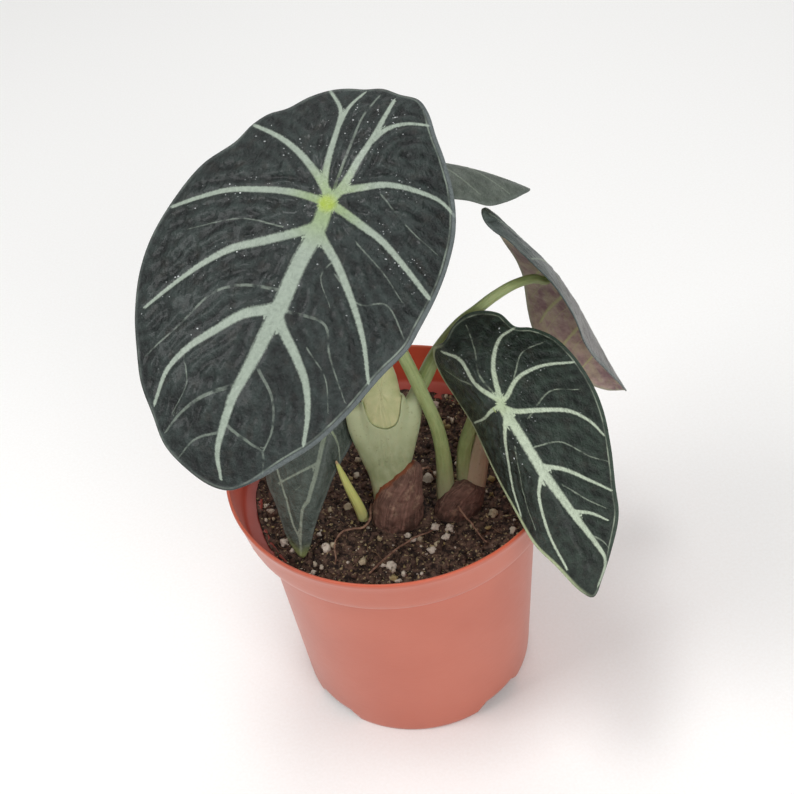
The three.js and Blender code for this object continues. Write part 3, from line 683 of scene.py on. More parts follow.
# a leaf blade's surface: flat points, s along the midrib and t to its left, become points in space
class Blade:
    def __init__(self, plan):
        self.rows, self.width = plan["rows"], plan["width"]
        self.first = math.floor(self.rows[0][0]) - 2
        s = np.arange(self.first, self.rows[-1][0] + 2.001)
        h, p, r = readRows(self.rows, s)[:, :3].T[:, :, None] * deg
        along = np.hstack([np.cos(h) * np.cos(p), np.sin(h) * np.cos(p), -np.sin(p)])
        raised = np.hstack([np.cos(h) * np.sin(p), np.sin(h) * np.sin(p), np.cos(p)])
        self.up = raised * np.cos(r) - np.cross(along, raised) * np.sin(r)
        self.across = np.cross(along, self.up)
        self.spine = np.vstack([[0, 0, 0], np.cumsum((along[1:] + along[:-1]) / 2, axis=0)])
        self.spine += np.array(plan["attach"]) - self.spine[-self.first]

    def at(self, s, t):
        s, t = np.atleast_1d(s).astype(float), np.atleast_1d(t).astype(float)
        x = np.clip(s - self.first, 0, len(self.spine) - 1.001)
        i = x.astype(int)
        u = (x - i)[:, None]
        tables = (self.spine, self.across, self.up)
        centre, across, up = [rows[i] * (1 - u) + rows[i + 1] * u for rows in tables]
        turn = readRows(self.rows, s)[:, 3:]
        fold, curl = np.where(t > 0, turn[:, 0], turn[:, 1]), np.where(t > 0, turn[:, 2], turn[:, 3])
        reach = np.abs(t)
        out, drop = np.zeros(len(s)), np.zeros(len(s))
        for k in range(12):
            q = (k + 0.5) / 12 * reach
            slope = (fold * (1 - np.exp(-q / midribCrease)) + curl * q / (self.width / 2)) * deg
            out += np.cos(slope) * reach / 12
            drop += np.sin(slope) * reach / 12
        return centre + unit(across) * (np.sign(t) * out)[:, None] - unit(up) * drop[:, None]

    def facing(self, s, t):
        s, t = np.atleast_1d(s).astype(float), np.atleast_1d(t).astype(float)
        sideways = self.at(s, t + 0.4) - self.at(s, t - 0.4)
        return unit(np.cross(sideways, self.at(s + 0.4, t) - self.at(s - 0.4, t)))


# how far each point is from the edge of the nearest vein, below zero inside one,
# and its offset across that vein in half widths, positive on the left
def veinGap(flat, veins):
    gap, side = np.full(len(flat), 60.0), np.full(len(flat), 20.0)
    for start, end, points in veins:
        line = lineThrough(points, 7 * len(points))
        away, share = reachTo(flat, line)
        half = start + (end - start) * share
        place = share * (len(line) - 1)
        i = np.minimum(place.astype(int), len(line) - 2)
        step, reach = line[i + 1] - line[i], flat - line[i]
        left = np.where(step[:, 0] * reach[:, 1] > step[:, 1] * reach[:, 0], 1, -1)
        closer = away - half < gap
        gap[closer] = (away - half)[closer]
        side[closer] = np.clip(left * away / half, -20, 20)[closer]
    return gap, side


# flat points in rings, 6 more in each ring; reach gives how far out they are at an angle in ring k
def flatRings(rings, start, reach):
    flat = [np.zeros((1, 2))]
    for k in range(1, rings + 1):
        angle = start + np.arange(6 * k) / (6 * k) * 2 * math.pi
        r = reach(angle, k)
        flat.append(np.stack([r * np.cos(angle), r * np.sin(angle)], 1))
    return np.vstack(flat)


# a blade's flat points in rings about its petiole, and its outline
def bladeRings(plan):
    rings, outline = plan["rings"], plan["outline"]
    dense = lineThrough(outline, 14 * len(outline), closed=True)
    turn = np.arctan2(dense[:, 1], dense[:, 0])
    order = np.argsort(turn)

    def reach(angle, k):
        wrapped = np.arctan2(np.sin(angle), np.cos(angle))
        r = np.interp(wrapped, turn[order], np.linalg.norm(dense, axis=1)[order], period=2 * math.pi)
        return r * (k / rings) ** 0.94

    tip = math.atan2(outline[0][1], outline[0][0])
    return flatRings(rings, tip, reach), np.vstack([dense, dense[:1]])


def ringFaces(rings):
    def spot(k, j):
        return 0 if k == 0 else 1 + 3 * k * (k - 1) + j % (6 * k)

    faces = []
    for k in range(1, rings + 1):
        for sector in range(6):
            for m in range(k):
                a, b = spot(k, sector * k + m), spot(k, sector * k + m + 1)
                c = spot(k - 1, sector * (k - 1) + m)
                faces.append((b, a, c))
                if m < k - 1:
                    faces.append((spot(k - 1, sector * (k - 1) + m + 1), b, c))
    return faces


def makeLeaf(number):
    plan = leaves[number]
    blade = Blade(plan)
    flat, edge = bladeRings(plan)
    rings, count = plan["rings"], len(flat)
    (vein, veinSide), (thin, thinSide) = veinGap(flat, plan["veins"]), veinGap(flat, plan["thinVeins"])
    rim = reachTo(flat, edge)[0]
    top, up = blade.at(*flat.T), blade.facing(*flat.T)
    spot = np.hstack([flat, np.full((count, 1), 9.0 * number)])
    inland = smoothStep(rim, 0.2, 6)
    swell = plan["quilt"] * (1 - np.exp(-np.maximum(vein, 0) / 4.5))
    swell = swell - 0.25 * np.exp(-np.maximum(thin, 0) / 1.2)
    swell = swell * (0.75 + 0.5 * ripple(spot, 13, 3.1))
    ridges = np.sin(1.55 * vein + 2.6 * ripple(spot, 9, 4.4)) * (0.5 + 0.5 * ripple(spot, 11, 8.1))
    relief = 0.62 * ridges + 0.9 * ripple(spot, 5.2, 1.3) + 0.5 * ripple(spot, 2.6, 6.0)
    relief = relief * smoothStep(vein, 0, 2.2) * (1 - 0.6 * np.exp(-np.maximum(thin, 0) / 0.8))
    swell = swell + plan["relief"] * relief + 0.06 * ripple(spot, 1.5, 5.5)
    upper = top + up * (swell * inland)[:, None]
    keel = keelHigh * (1 - smoothStep(vein, -1.2, 1.0)) + thinKeelHigh * (1 - smoothStep(thin, -0.2, 0.5))
    lower = top - up * (bladeThick * (0.55 + 0.45 * inland) + keel * inland - 0.5 * swell * inland)[:, None]
    outer = slice(count - 6 * rings, count)
    inward = flat[outer] * (1 - 0.6 / np.linalg.norm(flat[outer], axis=1))[:, None]
    away = unit(top[outer] - blade.at(*inward.T))
    middle = top[outer] - up[outer] * bladeThick * 0.28 + away * edgeRound

    faces = ringFaces(rings)
    under = [(b + count, a + count, c + count) for a, b, c in faces]
    first, middleFirst = count - 6 * rings, 2 * count
    sideFaces = []
    for j in range(6 * rings):
        k = (j + 1) % (6 * rings)
        a, b, m, n = first + j, first + k, middleFirst + j, middleFirst + k
        sideFaces += [(a, b, n, m), (m, n, b + count, a + count)]
    ends = np.arange(first, count)

    def spread(values):
        return np.concatenate([values, values, values[ends]])

    fields = {
        "vein": spread(vein), "thinVein": spread(thin), "rim": spread(rim),
        "veinSide": spread(veinSide), "thinSide": spread(thinSide), "relief": spread(relief),
        "core": spread(np.linalg.norm(flat, axis=1)), "flat": np.vstack([spot, spot, spot[ends]]),
    }
    made = makeMesh(f"leaf{number}", np.vstack([upper, lower, middle]), faces + under + sideFaces, fields)
    face = np.zeros(len(faces) * 2 + len(sideFaces), np.int32)
    face[len(faces) : 2 * len(faces)] = 1
    settle(made, "blade", [f"leaf_blade_{number}"], leafTopFinish(number, plan), leafBackFinish(number, plan))
    made.data.polygons.foreach_set("material_index", face)
    print(f"leaf {number} made:", len(made.data.polygons), "faces")
    return blade, flat, upper, up, vein, rim


# how much of a vein covers each point: the wide part from its gap, the thin part from the offset across it
def veinShare(skin, gapName, sideName, fray, low, high):
    gap, side = skin.field(gapName), skin.field(sideName)
    wide = (gap + fray).step(high, low)
    narrow = abs(side + fray * 0.8).step(1.35, 0.65) * gap.step(0.62, 0.36)
    return wide.sum("MAXIMUM", wide, narrow)


def leafTopFinish(number, plan):
    look = plan["tones"]
    skin = Finish(f"leafTop{number}", {"Specular IOR Level": 0.3, "Coat Weight": 0.1, "Coat Roughness": 0.1})
    where = skin.field("flat", 1)
    fray = skin.grain(where, 1.3, 2) - 0.5
    vein = veinShare(skin, "vein", "veinSide", fray * 0.8, -0.42, 0.36)
    thin = veinShare(skin, "thinVein", "thinSide", fray * 0.5, -0.2, 0.2)
    thin = thin * skin.grain(where, 0.3, 2).step(0.3, 0.6)
    rim, core = skin.field("rim"), skin.field("core")

    cloud = skin.grain(where, 0.11, 4, 0.6).step(0.34, 0.7)
    blotch = skin.grain(where, 0.34, 4, 0.62).step(0.4, 0.64)
    speck = skin.grain(where, 1.6, 3, 0.6).step(0.35, 0.7)
    # painted shade: the colour is darker in the hollows of the relief and lighter on its crests
    reliefShade = skin.field("relief").step(-0.6, 0.7)
    colour = skin.mix(cloud * 0.1 + blotch * 0.25 + speck * 0.15 + reliefShade * 0.5, look["deep"], look["soft"])
    colour = skin.mix(skin.grain(where, 0.22, 3).step(0.52, 0.74) * 0.3, colour, tone(54, 48, 42))
    young = skin.mix(core.step(2.0, 18.0), look["young"], look["vein"])
    young = skin.mix(core.step(4.0, 1.4) * plan.get("spot", 0.12), young, tone(160, 180, 74))
    pale = skin.mix(skin.grain(where, 0.7, 3).step(0.3, 0.75) * 0.2, young, look["soft"])
    colour = skin.mix(thin * 0.42 * plan["mark"], colour, pale)
    colour = skin.mix(vein * (0.25 + 0.72 * plan["mark"]), colour, pale)
    line = rim + (skin.grain(where, 0.07, 2) - 0.5) * 0.7
    across = skin.part(where, 1)
    wide = across.step(-2.0, -14.0)
    border = plan.get("border", tone(102, 110, 110))
    colour = skin.mix(line.step(1.5, 0.9) * (wide * 0.6 + 0.15), colour, border)
    broken = 0.3 + 0.7 * skin.grain(where, 0.12, 2).step(0.42, 0.6)
    collector = abs(line - wide * 1.2 - 0.5).step(0.45, 0.1) * broken
    colour = skin.mix(collector * (wide * 0.3 + 0.2) * plan["mark"], colour, look["vein"])
    # on leaf 3's top the strip beside the fold is tinted mauve, and its pale grey patches are a painted
    # highlight
    if plan.get("fold"):
        along = skin.part(where, 0)
        inside = along.step(-20.0, 14.0) * across.step(0.0, 3.0) * line.step(0.8, 3.0)
        colour = skin.mix(inside * 0.45, colour, skin.mix(cloud, plan["fold"], tone(150, 142, 136)))
    if plan.get("paleEdge"):
        colour = skin.mix(across.step(2.0, 10.0) * rim.step(1.5, 0.7), colour, plan["paleEdge"])
    if plan.get("brightTip"):
        along = skin.part(where, 0)
        colour = skin.mix(along.step(50.0, 57.0) * rim.step(4.0, 0.5) * 0.6, colour, tone(160, 176, 100))
    bump = skin.grain(where, 0.45, 3, 0.5) * 0.7 + skin.grain(where, 1.4, 3) * 0.22
    bump = bump + skin.grain(where, 3.2, 2) * 0.08
    rough = 0.3 + skin.grain(where, 0.25, 3) * 0.22 + vein * 0.15
    return skin.paint(colour, rough, bump, depth=1.8)


def leafBackFinish(number, plan):
    look = plan["backTones"]
    skin = Finish(f"leafBack{number}", {"Specular IOR Level": 0.4, "Coat Weight": 0.1, "Coat Roughness": 0.4})
    where = skin.field("flat", 1)
    fray = skin.grain(where, 1.2, 2) - 0.5
    vein = veinShare(skin, "vein", "veinSide", fray * 0.9, -0.5, 0.5)
    thin = veinShare(skin, "thinVein", "thinSide", fray * 0.4, -0.2, 0.3)
    cloud = skin.grain(where, 0.16, 4, 0.6).step(0.34, 0.68)
    colour = skin.mix(cloud, look["deep"], look["soft"])
    folds = skin.grain(skin.stretch(where, (0.35, 1, 1)), 0.5, 4, 0.6).step(0.42, 0.62)
    colour = skin.mix(folds * 0.3, colour, look["vein"])
    rim = skin.field("rim")
    # painted sheen: on leaf 3 the left half of the underside turns grey-green
    if plan.get("sheenHalf"):
        across = skin.part(where, 1)
        colour = skin.mix(across.step(0.6, 4.0) * 0.75, colour, tone(104, 110, 102))
    colour = skin.mix(thin * 0.4, colour, look["vein"])
    colour = skin.mix(vein * 0.85, colour, look["vein"])
    colour = skin.mix(rim.step(1.6, 0.5) * 0.6, colour, tone(150, 158, 134))
    bump = skin.grain(where, 0.9, 3) * 0.5 + folds * 0.5
    return skin.paint(colour, 0.5 + cloud * 0.08, bump, depth=0.35)


# Stems. Stations are (x, y, z, half width, half depth).
petioles = {
    1: [
        (17, -11, 84, 3.5, 3.2), (17.2, -9.8, 92, 3.4, 3), (17.9, -8.4, 108, 2.8, 2.6),
        (16.8, -6.8, 124, 2.4, 2.3), (12.6, -4.2, 141, 2.3, 2.2), (4, 2.4, 168, 2.1, 2.1),
        (-3.4, 8, 194, 2, 2),
    ],
    2: [
        (24.2, -8.4, 84, 3, 2.8), (24.6, -8, 94, 3, 2.8), (26, -7, 112, 2.7, 2.6),
        (29.6, -6.8, 124, 2.4, 2.4), (33.4, -9, 136, 2.2, 2.2), (35.4, -17.6, 144.4, 2, 2),
    ],
    3: [
        (11, -0.4, 133.4, 2.2, 2.2), (14.2, 1.6, 138, 2.7, 2.5), (20.2, 4.8, 146.8, 2.5, 2.4),
        (29, 8.6, 155.2, 2.1, 2.1), (35.6, 11, 158.4, 1.9, 1.9), (42.2, 13.4, 161.3, 1.8, 1.8),
        (48.8, 16, 162.8, 1.7, 1.7), (55.8, 18.8, 162, 1.6, 1.6),
    ],
    4: [(2.8, 5.8, 151, 2, 2), (4.6, 10, 158, 2.1, 2.1), (8.4, 22, 176, 2, 2), (13, 34, 193, 1.8, 1.8)],
    5: [
        (-3, 1.4, 84, 2.6, 2.4), (-3.4, 1.6, 96, 2.4, 2.3), (-6, 4.8, 110, 2.2, 2.2),
        (-10.8, 8.4, 120, 2.1, 2.1), (-14.2, 7.8, 126.4, 1.9, 1.9),
    ],
}
petioleLook = {
    "green": tone(132, 146, 90),
    "light": tone(158, 170, 116),
    "foot": tone(148, 146, 116),
    # where a petiole meets its blade, when that isn't the blade's origin
    "stalk": {3: (4, -2.5)},
    # how far under the blade its last two stations are, and how wide beside its own end
    "ends": ((3.4, 0.98), (bladeThick + 0.2, 1.25)),
}


def stemFinish(name, look, footHigh=112.0):
    skin = Finish(name, {"Specular IOR Level": 0.45, "Subsurface Weight": 0.12, "Subsurface Scale": 0.003})
    streak, where = skin.field("streak", 1), skin.place()
    lines = skin.grain(streak, 3.2, 3).step(0.3, 0.7)
    patch = skin.grain(where, 210, 4, 0.6).step(0.36, 0.64)
    colour = skin.mix(lines * 0.55 + patch * 0.35, look["green"], look["light"])
    height = skin.high()
    colour = skin.mix(height.step(footHigh, 94.0) * 0.8, colour, look["foot"])
    # painted light: the outer sheath turns lighter towards its top, against the shade the leaves cast there
    if "upper" in look:
        colour = skin.mix(height.step(111, 127) * 0.7, colour, look["upper"])
    fleck = skin.grain(where, 950, 2).step(0.64, 0.74)
    colour = skin.mix(fleck * 0.32, colour, tone(96, 92, 66))
    dirt = height.step(93.5, 88.0) * skin.grain(where, 600, 3).step(0.35, 0.6)
    colour = skin.mix(dirt * 0.75, colour, tone(70, 52, 42))
    return skin.paint(colour, 0.42 + lines * 0.12, lines * 0.7 + skin.grain(where, 1400, 2) * 0.3, depth=0.18)


def petioleRidges(u, a):
    return 1 + 0.025 * np.sin(5 * a + 7 * u) + 0.02 * np.sin(23 * u + a)


def makePetioles(blades):
    skin = stemFinish("petioleSkin", petioleLook)
    for number, stations in petioles.items():
        s, t = petioleLook["stalk"].get(number, (0, 0))
        blade, half = blades[number], stations[-1][3]
        top, up = blade.at(s, t)[0], blade.facing(s, t)[0]
        ends = [(*(top - up * below), half * wide, half * wide) for below, wide in petioleLook["ends"]]
        made = makeMesh(f"petiole{number}", *stemShape(stations + ends, 30, 110, rough=petioleRidges))
        settle(made, "petiole", [f"petiole_{number}"], skin)
    print("petioles made")


sheath = {
    "right": [
        (-0.4, -8, 84, 6.8, 5), (-0.6, -6.5, 104, 6.2, 4.6), (1.8, -5, 114, 6.8, 4.4),
        (6.6, -3, 123.6, 5.2, 3.6), (10.8, -0.8, 132.6, 3.1, 2.9), (14.4, 1.9, 138.8, 2.6, 2.45),
    ],
    "left": [
        (-1.6, -8, 84, 7, 5), (-2.4, -6.5, 104, 6.6, 4.6), (-4.8, -4.6, 115, 6.8, 4.4),
        (-8.4, -3, 125, 5.4, 3.4), (-10.4, -1.4, 134, 3.6, 2.4),
    ],
    "front": [
        (-1, -8, 90, 6, 4.6), (-1, -6, 108, 7.4, 4.6), (-0.8, -4.6, 120, 8.6, 4.4),
        (-0.4, -3.6, 130, 8.6, 4.2), (0, -2.8, 138, 7.4, 3.6),
    ],
    "inner": [
        (-1.4, -4.2, 106, 5, 3.2), (-1.2, -3.4, 118, 6.6, 4), (-0.8, -2.6, 130, 7, 4.4),
        (-0.6, -0.6, 142, 6.4, 4), (-0.2, 2.2, 150, 4.8, 3.2), (3.2, 7.4, 156, 3, 2.7),
        (5, 11.4, 161, 2.3, 2.3),
    ],
    "mouth": [
        (-8.4, 143), (-7.4, 138), (-6.7, 133.7), (-5.3, 129.2), (-2.7, 127.4), (0, 126.7), (3.4, 128.1),
        (6, 135.7), (7.8, 143),
    ],
    "mouthDepth": (-20.0, -3.0),
    "mouthTop": 160,
    "skin": 0.9,
    "innerRoom": 0.93,
    "voxel": 0.5,
    "easing": 10,
    "tones": {
        "green": tone(142, 152, 113), "light": tone(170, 177, 140), "foot": tone(172, 170, 140),
        # painted light lifting the sheath's top where the leaves shade it
        "upper": tone(178, 185, 146),
    },
    "innerTones": {"green": tone(168, 172, 124), "light": tone(194, 192, 146), "foot": tone(168, 168, 126)},
    "sideTones": {"green": tone(168, 162, 120), "light": tone(206, 184, 164), "foot": tone(178, 158, 132)},
    "side": [
        (25.6, -9.6, 84, 4.4, 3.2), (27.6, -9, 94, 4.2, 3), (30.4, -8.2, 107, 3.5, 2.6),
        (32.6, -8, 118, 2.5, 2), (33.8, -8, 124, 1.4, 1.2),
    ],
}


# several overlapping stems melted into one smooth body
def melted(name, stems, grow=0.0):
    points, faces, _ = together([stemShape(stations, 24, 30, grow) for stations in stems])
    made = makeMesh(name, points, faces)
    cells = made.modifiers.new("cells", "REMESH")
    cells.mode = "VOXEL"
    cells.voxel_size = sheath["voxel"] * mm
    ease = made.modifiers.new("ease", "SMOOTH")
    ease.factor = 0.5
    ease.iterations = sheath["easing"]
    return baked(made)


def streakField(made):
    place = pointsOf(made)
    turn = np.arctan2(place[:, 1] + 5, place[:, 0] + 0.5)
    return {"streak": np.stack([np.cos(turn), np.sin(turn), place[:, 2] * 0.06], 1)}


def sheathRidges(u, a):
    return 1 + 0.03 * np.sin(7 * a + 3 * u)


def makeSheaths():
    lobes = [sheath["right"], sheath["left"], sheath["front"]]
    body = melted("mainSheath", lobes)
    core = melted("core", lobes, -sheath["skin"])
    mouth, top = lineThrough(sheath["mouth"], 33), sheath["mouthTop"]
    count = len(mouth) + 2
    ring = [*mouth, (mouth[-1][0], top), (mouth[0][0], top)]
    prism = [(x, y, z) for y in sheath["mouthDepth"] for x, z in ring]
    prismFaces = [(k + count, (k + 1) % count + count, (k + 1) % count, k) for k in range(count)]
    prismFaces += [tuple(range(count)), tuple(range(count, 2 * count))[::-1]]
    cutter = makeMesh("mouth", prism, prismFaces)
    for tool in (core, cutter):
        cut = body.modifiers.new("cut", "BOOLEAN")
        cut.operation = "DIFFERENCE"
        cut.object = tool
    baked(body)
    giveFields(body.data, streakField(body))
    bpy.data.objects.remove(core)
    bpy.data.objects.remove(cutter)
    settle(body, "sheath", ["main_sheath"], stemFinish("sheathSkin", sheath["tones"], 104.0))

    room = sheath["innerRoom"]
    slimmer = [[(x, y, z, w - room, d - room) for x, y, z, w, d in rows] for rows in lobes]
    inner = melted("innerSheath", [sheath["inner"], *slimmer])
    giveFields(inner.data, streakField(inner))
    settle(inner, "sheath", ["inner_sheath"], stemFinish("innerSheathSkin", sheath["innerTones"], 96.0))

    side = makeMesh("sideSheath", *stemShape(sheath["side"], 40, 60, rough=sheathRidges))
    settle(side, "sheath", ["side_sheath"], stemFinish("sideSheathSkin", sheath["sideTones"], 90.0))
    print("sheaths made")
    return body


corms = {
    "corm_main": [
        (-1.5, -13, 80, 7.5, 6), (-1.2, -13, 87, 9, 7.2), (1.4, -10.8, 97, 8.2, 6.2),
        (5.2, -8.6, 104, 5.2, 4.6), (7.2, -7.4, 108.5, 2.4, 2),
    ],
    "corm_side": [
        (18, -14, 79, 6.4, 5), (20.4, -13.2, 86, 8.4, 6), (24, -11.6, 92, 7.4, 5.4),
        (28, -10.6, 97, 4.4, 3.6),
    ],
}
cormTones = {
    "dark": tone(82, 56, 47), "brown": tone(152, 116, 102), "edge": tone(150, 82, 50),
    "pale": tone(172, 144, 120),
}


def makeCorms(stems):
    tree = kdtree.KDTree(sum(len(stem.data.vertices) for stem in stems))
    spots = np.vstack([pointsOf(stem) for stem in stems])
    for i, spot in enumerate(spots):
        tree.insert(Vector(spot), i)
    tree.balance()
    skin = Finish("cormSkin", {"Specular IOR Level": 0.3})
    streak, where = skin.field("streak", 1), skin.place()
    fibres = skin.grain(skin.stretch(streak, (3, 3, 1)), 2.6, 4, 0.6).step(0.3, 0.7)
    rings = skin.grain(skin.stretch(where, (60, 60, 420)), 1, 4, 0.6).step(0.35, 0.65)
    colour = skin.mix(fibres * 0.62 + rings * 0.22, cormTones["dark"], cormTones["brown"])
    colour = skin.mix(skin.grain(where, 260, 5, 0.65).step(0.52, 0.7) * 0.6, colour, cormTones["pale"])
    near = skin.field("near") + (skin.grain(where, 500, 2) - 0.5) * 1.4
    colour = skin.mix(near.step(1.9, 0.7) * 0.85, colour, cormTones["edge"])
    height = skin.high()
    earth = height.step(99.0, 88.0) * skin.grain(where, 380, 4, 0.65).step(0.4, 0.6)
    colour = skin.mix(earth * 0.8, colour, tone(62, 46, 38))
    material = skin.paint(colour, 0.62 + fibres * 0.2, fibres * 0.7 + rings * 0.2 + earth * 0.3, depth=0.6)
    for name, stations in corms.items():
        points, faces, fields = stemShape(stations, 72, 60)
        centre = points.mean(axis=0)
        away = unit((points - centre) * (1, 1, 0.3))
        lump = 0.75 * ripple(points, 4, 1.7) + 0.4 * ripple(points * (1, 1, 1.8), 1.5, 4.2)
        points = points + away * lump[:, None] * smoothStep(fields["share"], 1.0, 0.9)[:, None]
        fields["near"] = np.array([tree.find(Vector(p))[2] for p in points])
        made = makeMesh(name.replace("_m", "M").replace("_s", "S"), points, faces, fields)
        settle(made, "corm", [name], material)
    print("corms made")


shoot = {
    "stations": [
        (-12.8, -11, 82, 1.8, 1.7), (-13.9, -11, 92, 1.95, 1.8), (-16.6, -10.8, 104, 1.6, 1.5),
        (-18.5, -10.3, 113, 0.85, 0.8), (-19.3, -10, 117, 0.35, 0.35),
    ],
    "tones": {"green": tone(200, 205, 120), "light": tone(222, 223, 146), "foot": tone(190, 188, 134)},
}


def shootRidges(u, a):
    return 1 + 0.05 * np.sin(2 * a + 9 * u)


def makeShoot():
    made = makeMesh("newShoot", *stemShape(shoot["stations"], 28, 60, rough=shootRidges))
    skin = Finish("shootSkin", {"Subsurface Weight": 0.15, "Subsurface Scale": 0.002})
    streak, share = skin.field("streak", 1), skin.field("share")
    lines = skin.grain(streak, 3.0, 3).step(0.3, 0.7)
    colour = skin.mix(lines * 0.6, shoot["tones"]["green"], shoot["tones"]["light"])
    colour = skin.mix(share.step(0.35, 0.1) * 0.8, colour, shoot["tones"]["foot"])
    colour = skin.mix(share.step(0.86, 0.98), colour, tone(186, 160, 124))
    settle(made, "shoot", ["new_shoot"], skin.paint(colour, 0.45 + lines * 0.1, lines, depth=0.12))
    print("shoot made")


# Potting mix: a rough surface, crumbs and fibres on it, and perlite
mix = {
    "high": 88,
    "reach": 51.5,
    "neck": 50.8,
    "rings": 104,
    "lumps": ((7.0, 0.8), (2.6, 0.55), (1.1, 0.3)),
    "crumbs": 2100,
    "crumbReach": 50.8,
    "gritReach": 50.4,
    "fibreReach": 50,
    "grit": 640,
    "fibres": 46,
    "deep": tone(40, 29, 26),
    "brown": tone(112, 88, 76),
    "tan": tone(206, 184, 138),
}


def mixHeight(x, y):
    x, y = np.asarray(x, float), np.asarray(y, float)
    far = np.hypot(x, y)
    swell = 0.7 * np.sin(0.13 * x + 0.9) * np.cos(0.11 * y - 0.5) + 0.4 * np.sin(0.31 * x - 0.23 * y)
    high = mix["high"] - 0.6 + swell * (1 - np.minimum(far / mix["neck"], 1) ** 4)
    high = high + 2.1 * smoothStep(far, 48, 51.6)
    flat = np.stack([x, y, 0 * x], -1).reshape(-1, 3)
    for size, height in mix["lumps"]:
        high = high + height * ripple(flat, size, size).reshape(x.shape)
    return high


def makeMix():
    rings = mix["rings"]

    def reach(angle, k):
        return mix["reach"] * k / rings + 0.35 * np.sin(9 * angle) * (k / rings) ** 8

    flat = flatRings(rings, 0, reach)
    top = np.column_stack([flat, mixHeight(*flat.T)])
    faces = [face[::-1] for face in ringFaces(rings)]
    ends = np.arange(len(top) - 6 * rings, len(top))
    steps = ((0.955, 1, -1.6), (0.945, 0, 86.5), (0.82, 0, 6))
    lower = [top[ends] * (x, x, down) + (0, 0, z) for x, down, z in steps]
    points = np.vstack([top, *lower, (0, 0, 6)])
    edge = [ends] + [len(top) + np.arange(6 * rings) + 6 * rings * k for k in range(3)]
    for upper, under in zip(edge, edge[1:]):
        for j in range(6 * rings):
            k = (j + 1) % (6 * rings)
            faces.append((int(upper[j]), int(under[j]), int(under[k]), int(upper[k])))
    last = len(points) - 1
    faces += [(last, int(edge[3][(j + 1) % (6 * rings)]), int(edge[3][j])) for j in range(6 * rings)]
    made = makeMesh("pottingMix", points, faces)
    settle(made, "potting_mix", ["potting_mix"], mixFinish())
    print("potting mix made")


def mixFinish(tinted=False):
    skin = Finish("crumbSkin" if tinted else "mixSkin", {"Specular IOR Level": 0.25})
    where = skin.place()
    share = skin.grain(where, 420, 5, 0.65).step(0.4, 0.62)
    if tinted:
        share = share * 0.4 + skin.field("tint") * 0.8
    colour = skin.mix(share, mix["deep"], mix["brown"])
    bright = skin.grain(where, 900, 3).step(0.59, 0.69) * (0.5 if tinted else 0.75)
    colour = skin.mix(bright, colour, mix["tan"])
    return skin.paint(colour, 0.7 + share * 0.2, skin.grain(where, 1500, 4, 0.7), depth=0.6)


# a small ball mesh, 0 to 3 times divided
def ball(times):
    shape = bmesh.new()
    bmesh.ops.create_icosphere(shape, subdivisions=times, radius=1)
    points = np.array([v.co for v in shape.verts])
    faces = [tuple(v.index for v in face.verts) for face in shape.faces]
    shape.free()
    return points, faces


stemFeet = [
    (-1, -8, 8), (0.6, -13, 10.6), (17, -11, 4), (20.4, -13.2, 8.6), (26.4, -9.2, 5), (-13.6, -11, 2.4),
    (-3, 1.4, 3),
]


def clearOfStems(x, y, extra):
    return all(math.hypot(x - a, y - b) > r + extra for a, b, r in stemFeet)


def scattered(chance, reach, turn=2 * math.pi):
    r, a = reach * math.sqrt(chance.random()), chance.uniform(0, turn)
    return r * math.cos(a), r * math.sin(a)


def makeCrumbs():
    chance = random.Random(11)
    points, faces = ball(1)
    grains = []
    while len(grains) < mix["crumbs"]:
        x, y = scattered(chance, mix["crumbReach"])
        size = 0.32 + 1.0 * chance.random() ** 3.2
        if not clearOfStems(x, y, -0.4):
            continue
        shape = points * (1 + 0.5 * np.array([[chance.uniform(-0.5, 0.7)] for _ in points]))
        shape = shape * [size * chance.uniform(*span) for span in ((1, 1.9), (0.7, 1), (0.45, 0.8))]
        heading, tilt = chance.uniform(0, 6.3), chance.uniform(-0.6, 0.6)
        turn = np.array(Matrix.Rotation(heading, 3, "Z") @ Matrix.Rotation(tilt, 3, "Y"))
        tint = np.full(len(points), chance.random() ** 1.6)
        grains.append((shape @ turn.T + (x, y, float(mixHeight(x, y)) + size * 0.22), faces, {"tint": tint}))
    made = makeMesh("mixCrumbs", *together(grains))
    settle(made, "potting_mix", [], mixFinish(True))

    threads = []
    for _ in range(mix["fibres"]):
        x, y = scattered(chance, mix["fibreReach"], 6.3)
        heading = chance.uniform(0, 6.3)
        path = []
        for _ in range(5):
            high = float(mixHeight(x, y)) + chance.uniform(0.2, 1.0)
            path.append((x, y, high, 0.13, 0.13))
            heading += chance.uniform(-0.8, 0.8)
            x, y = x + 1.7 * math.cos(heading), y + 1.7 * math.sin(heading)
        if clearOfStems(x, y, 1) and math.hypot(x, y) < 51:
            threads.append(stemShape(path, 5, 14))
    made = makeMesh("mixFibres", *together(threads))
    settle(made, "potting_mix", [], rootFinish("fibreSkin", tone(132, 104, 80), tone(96, 72, 56)))
    print("crumbs and fibres made")


def perliteFinish():
    skin = Finish("perliteSkin", {"Specular IOR Level": 0.3})
    where, tint = skin.place(), skin.field("tint")
    colour = skin.mix(tint.step(0.45, 1.0), tone(214, 203, 188), tone(164, 146, 98))
    dirt = skin.grain(where, 700, 4, 0.6).step(0.5, 0.72)
    colour = skin.mix(dirt * 0.7, colour, tone(120, 94, 74))
    pores = skin.add("TexVoronoi", None, {"Vector": where, "Scale": 1600})
    return skin.paint(colour, 0.85 - tint * 0.1, pores * 0.6 + dirt * 0.4, depth=0.3)


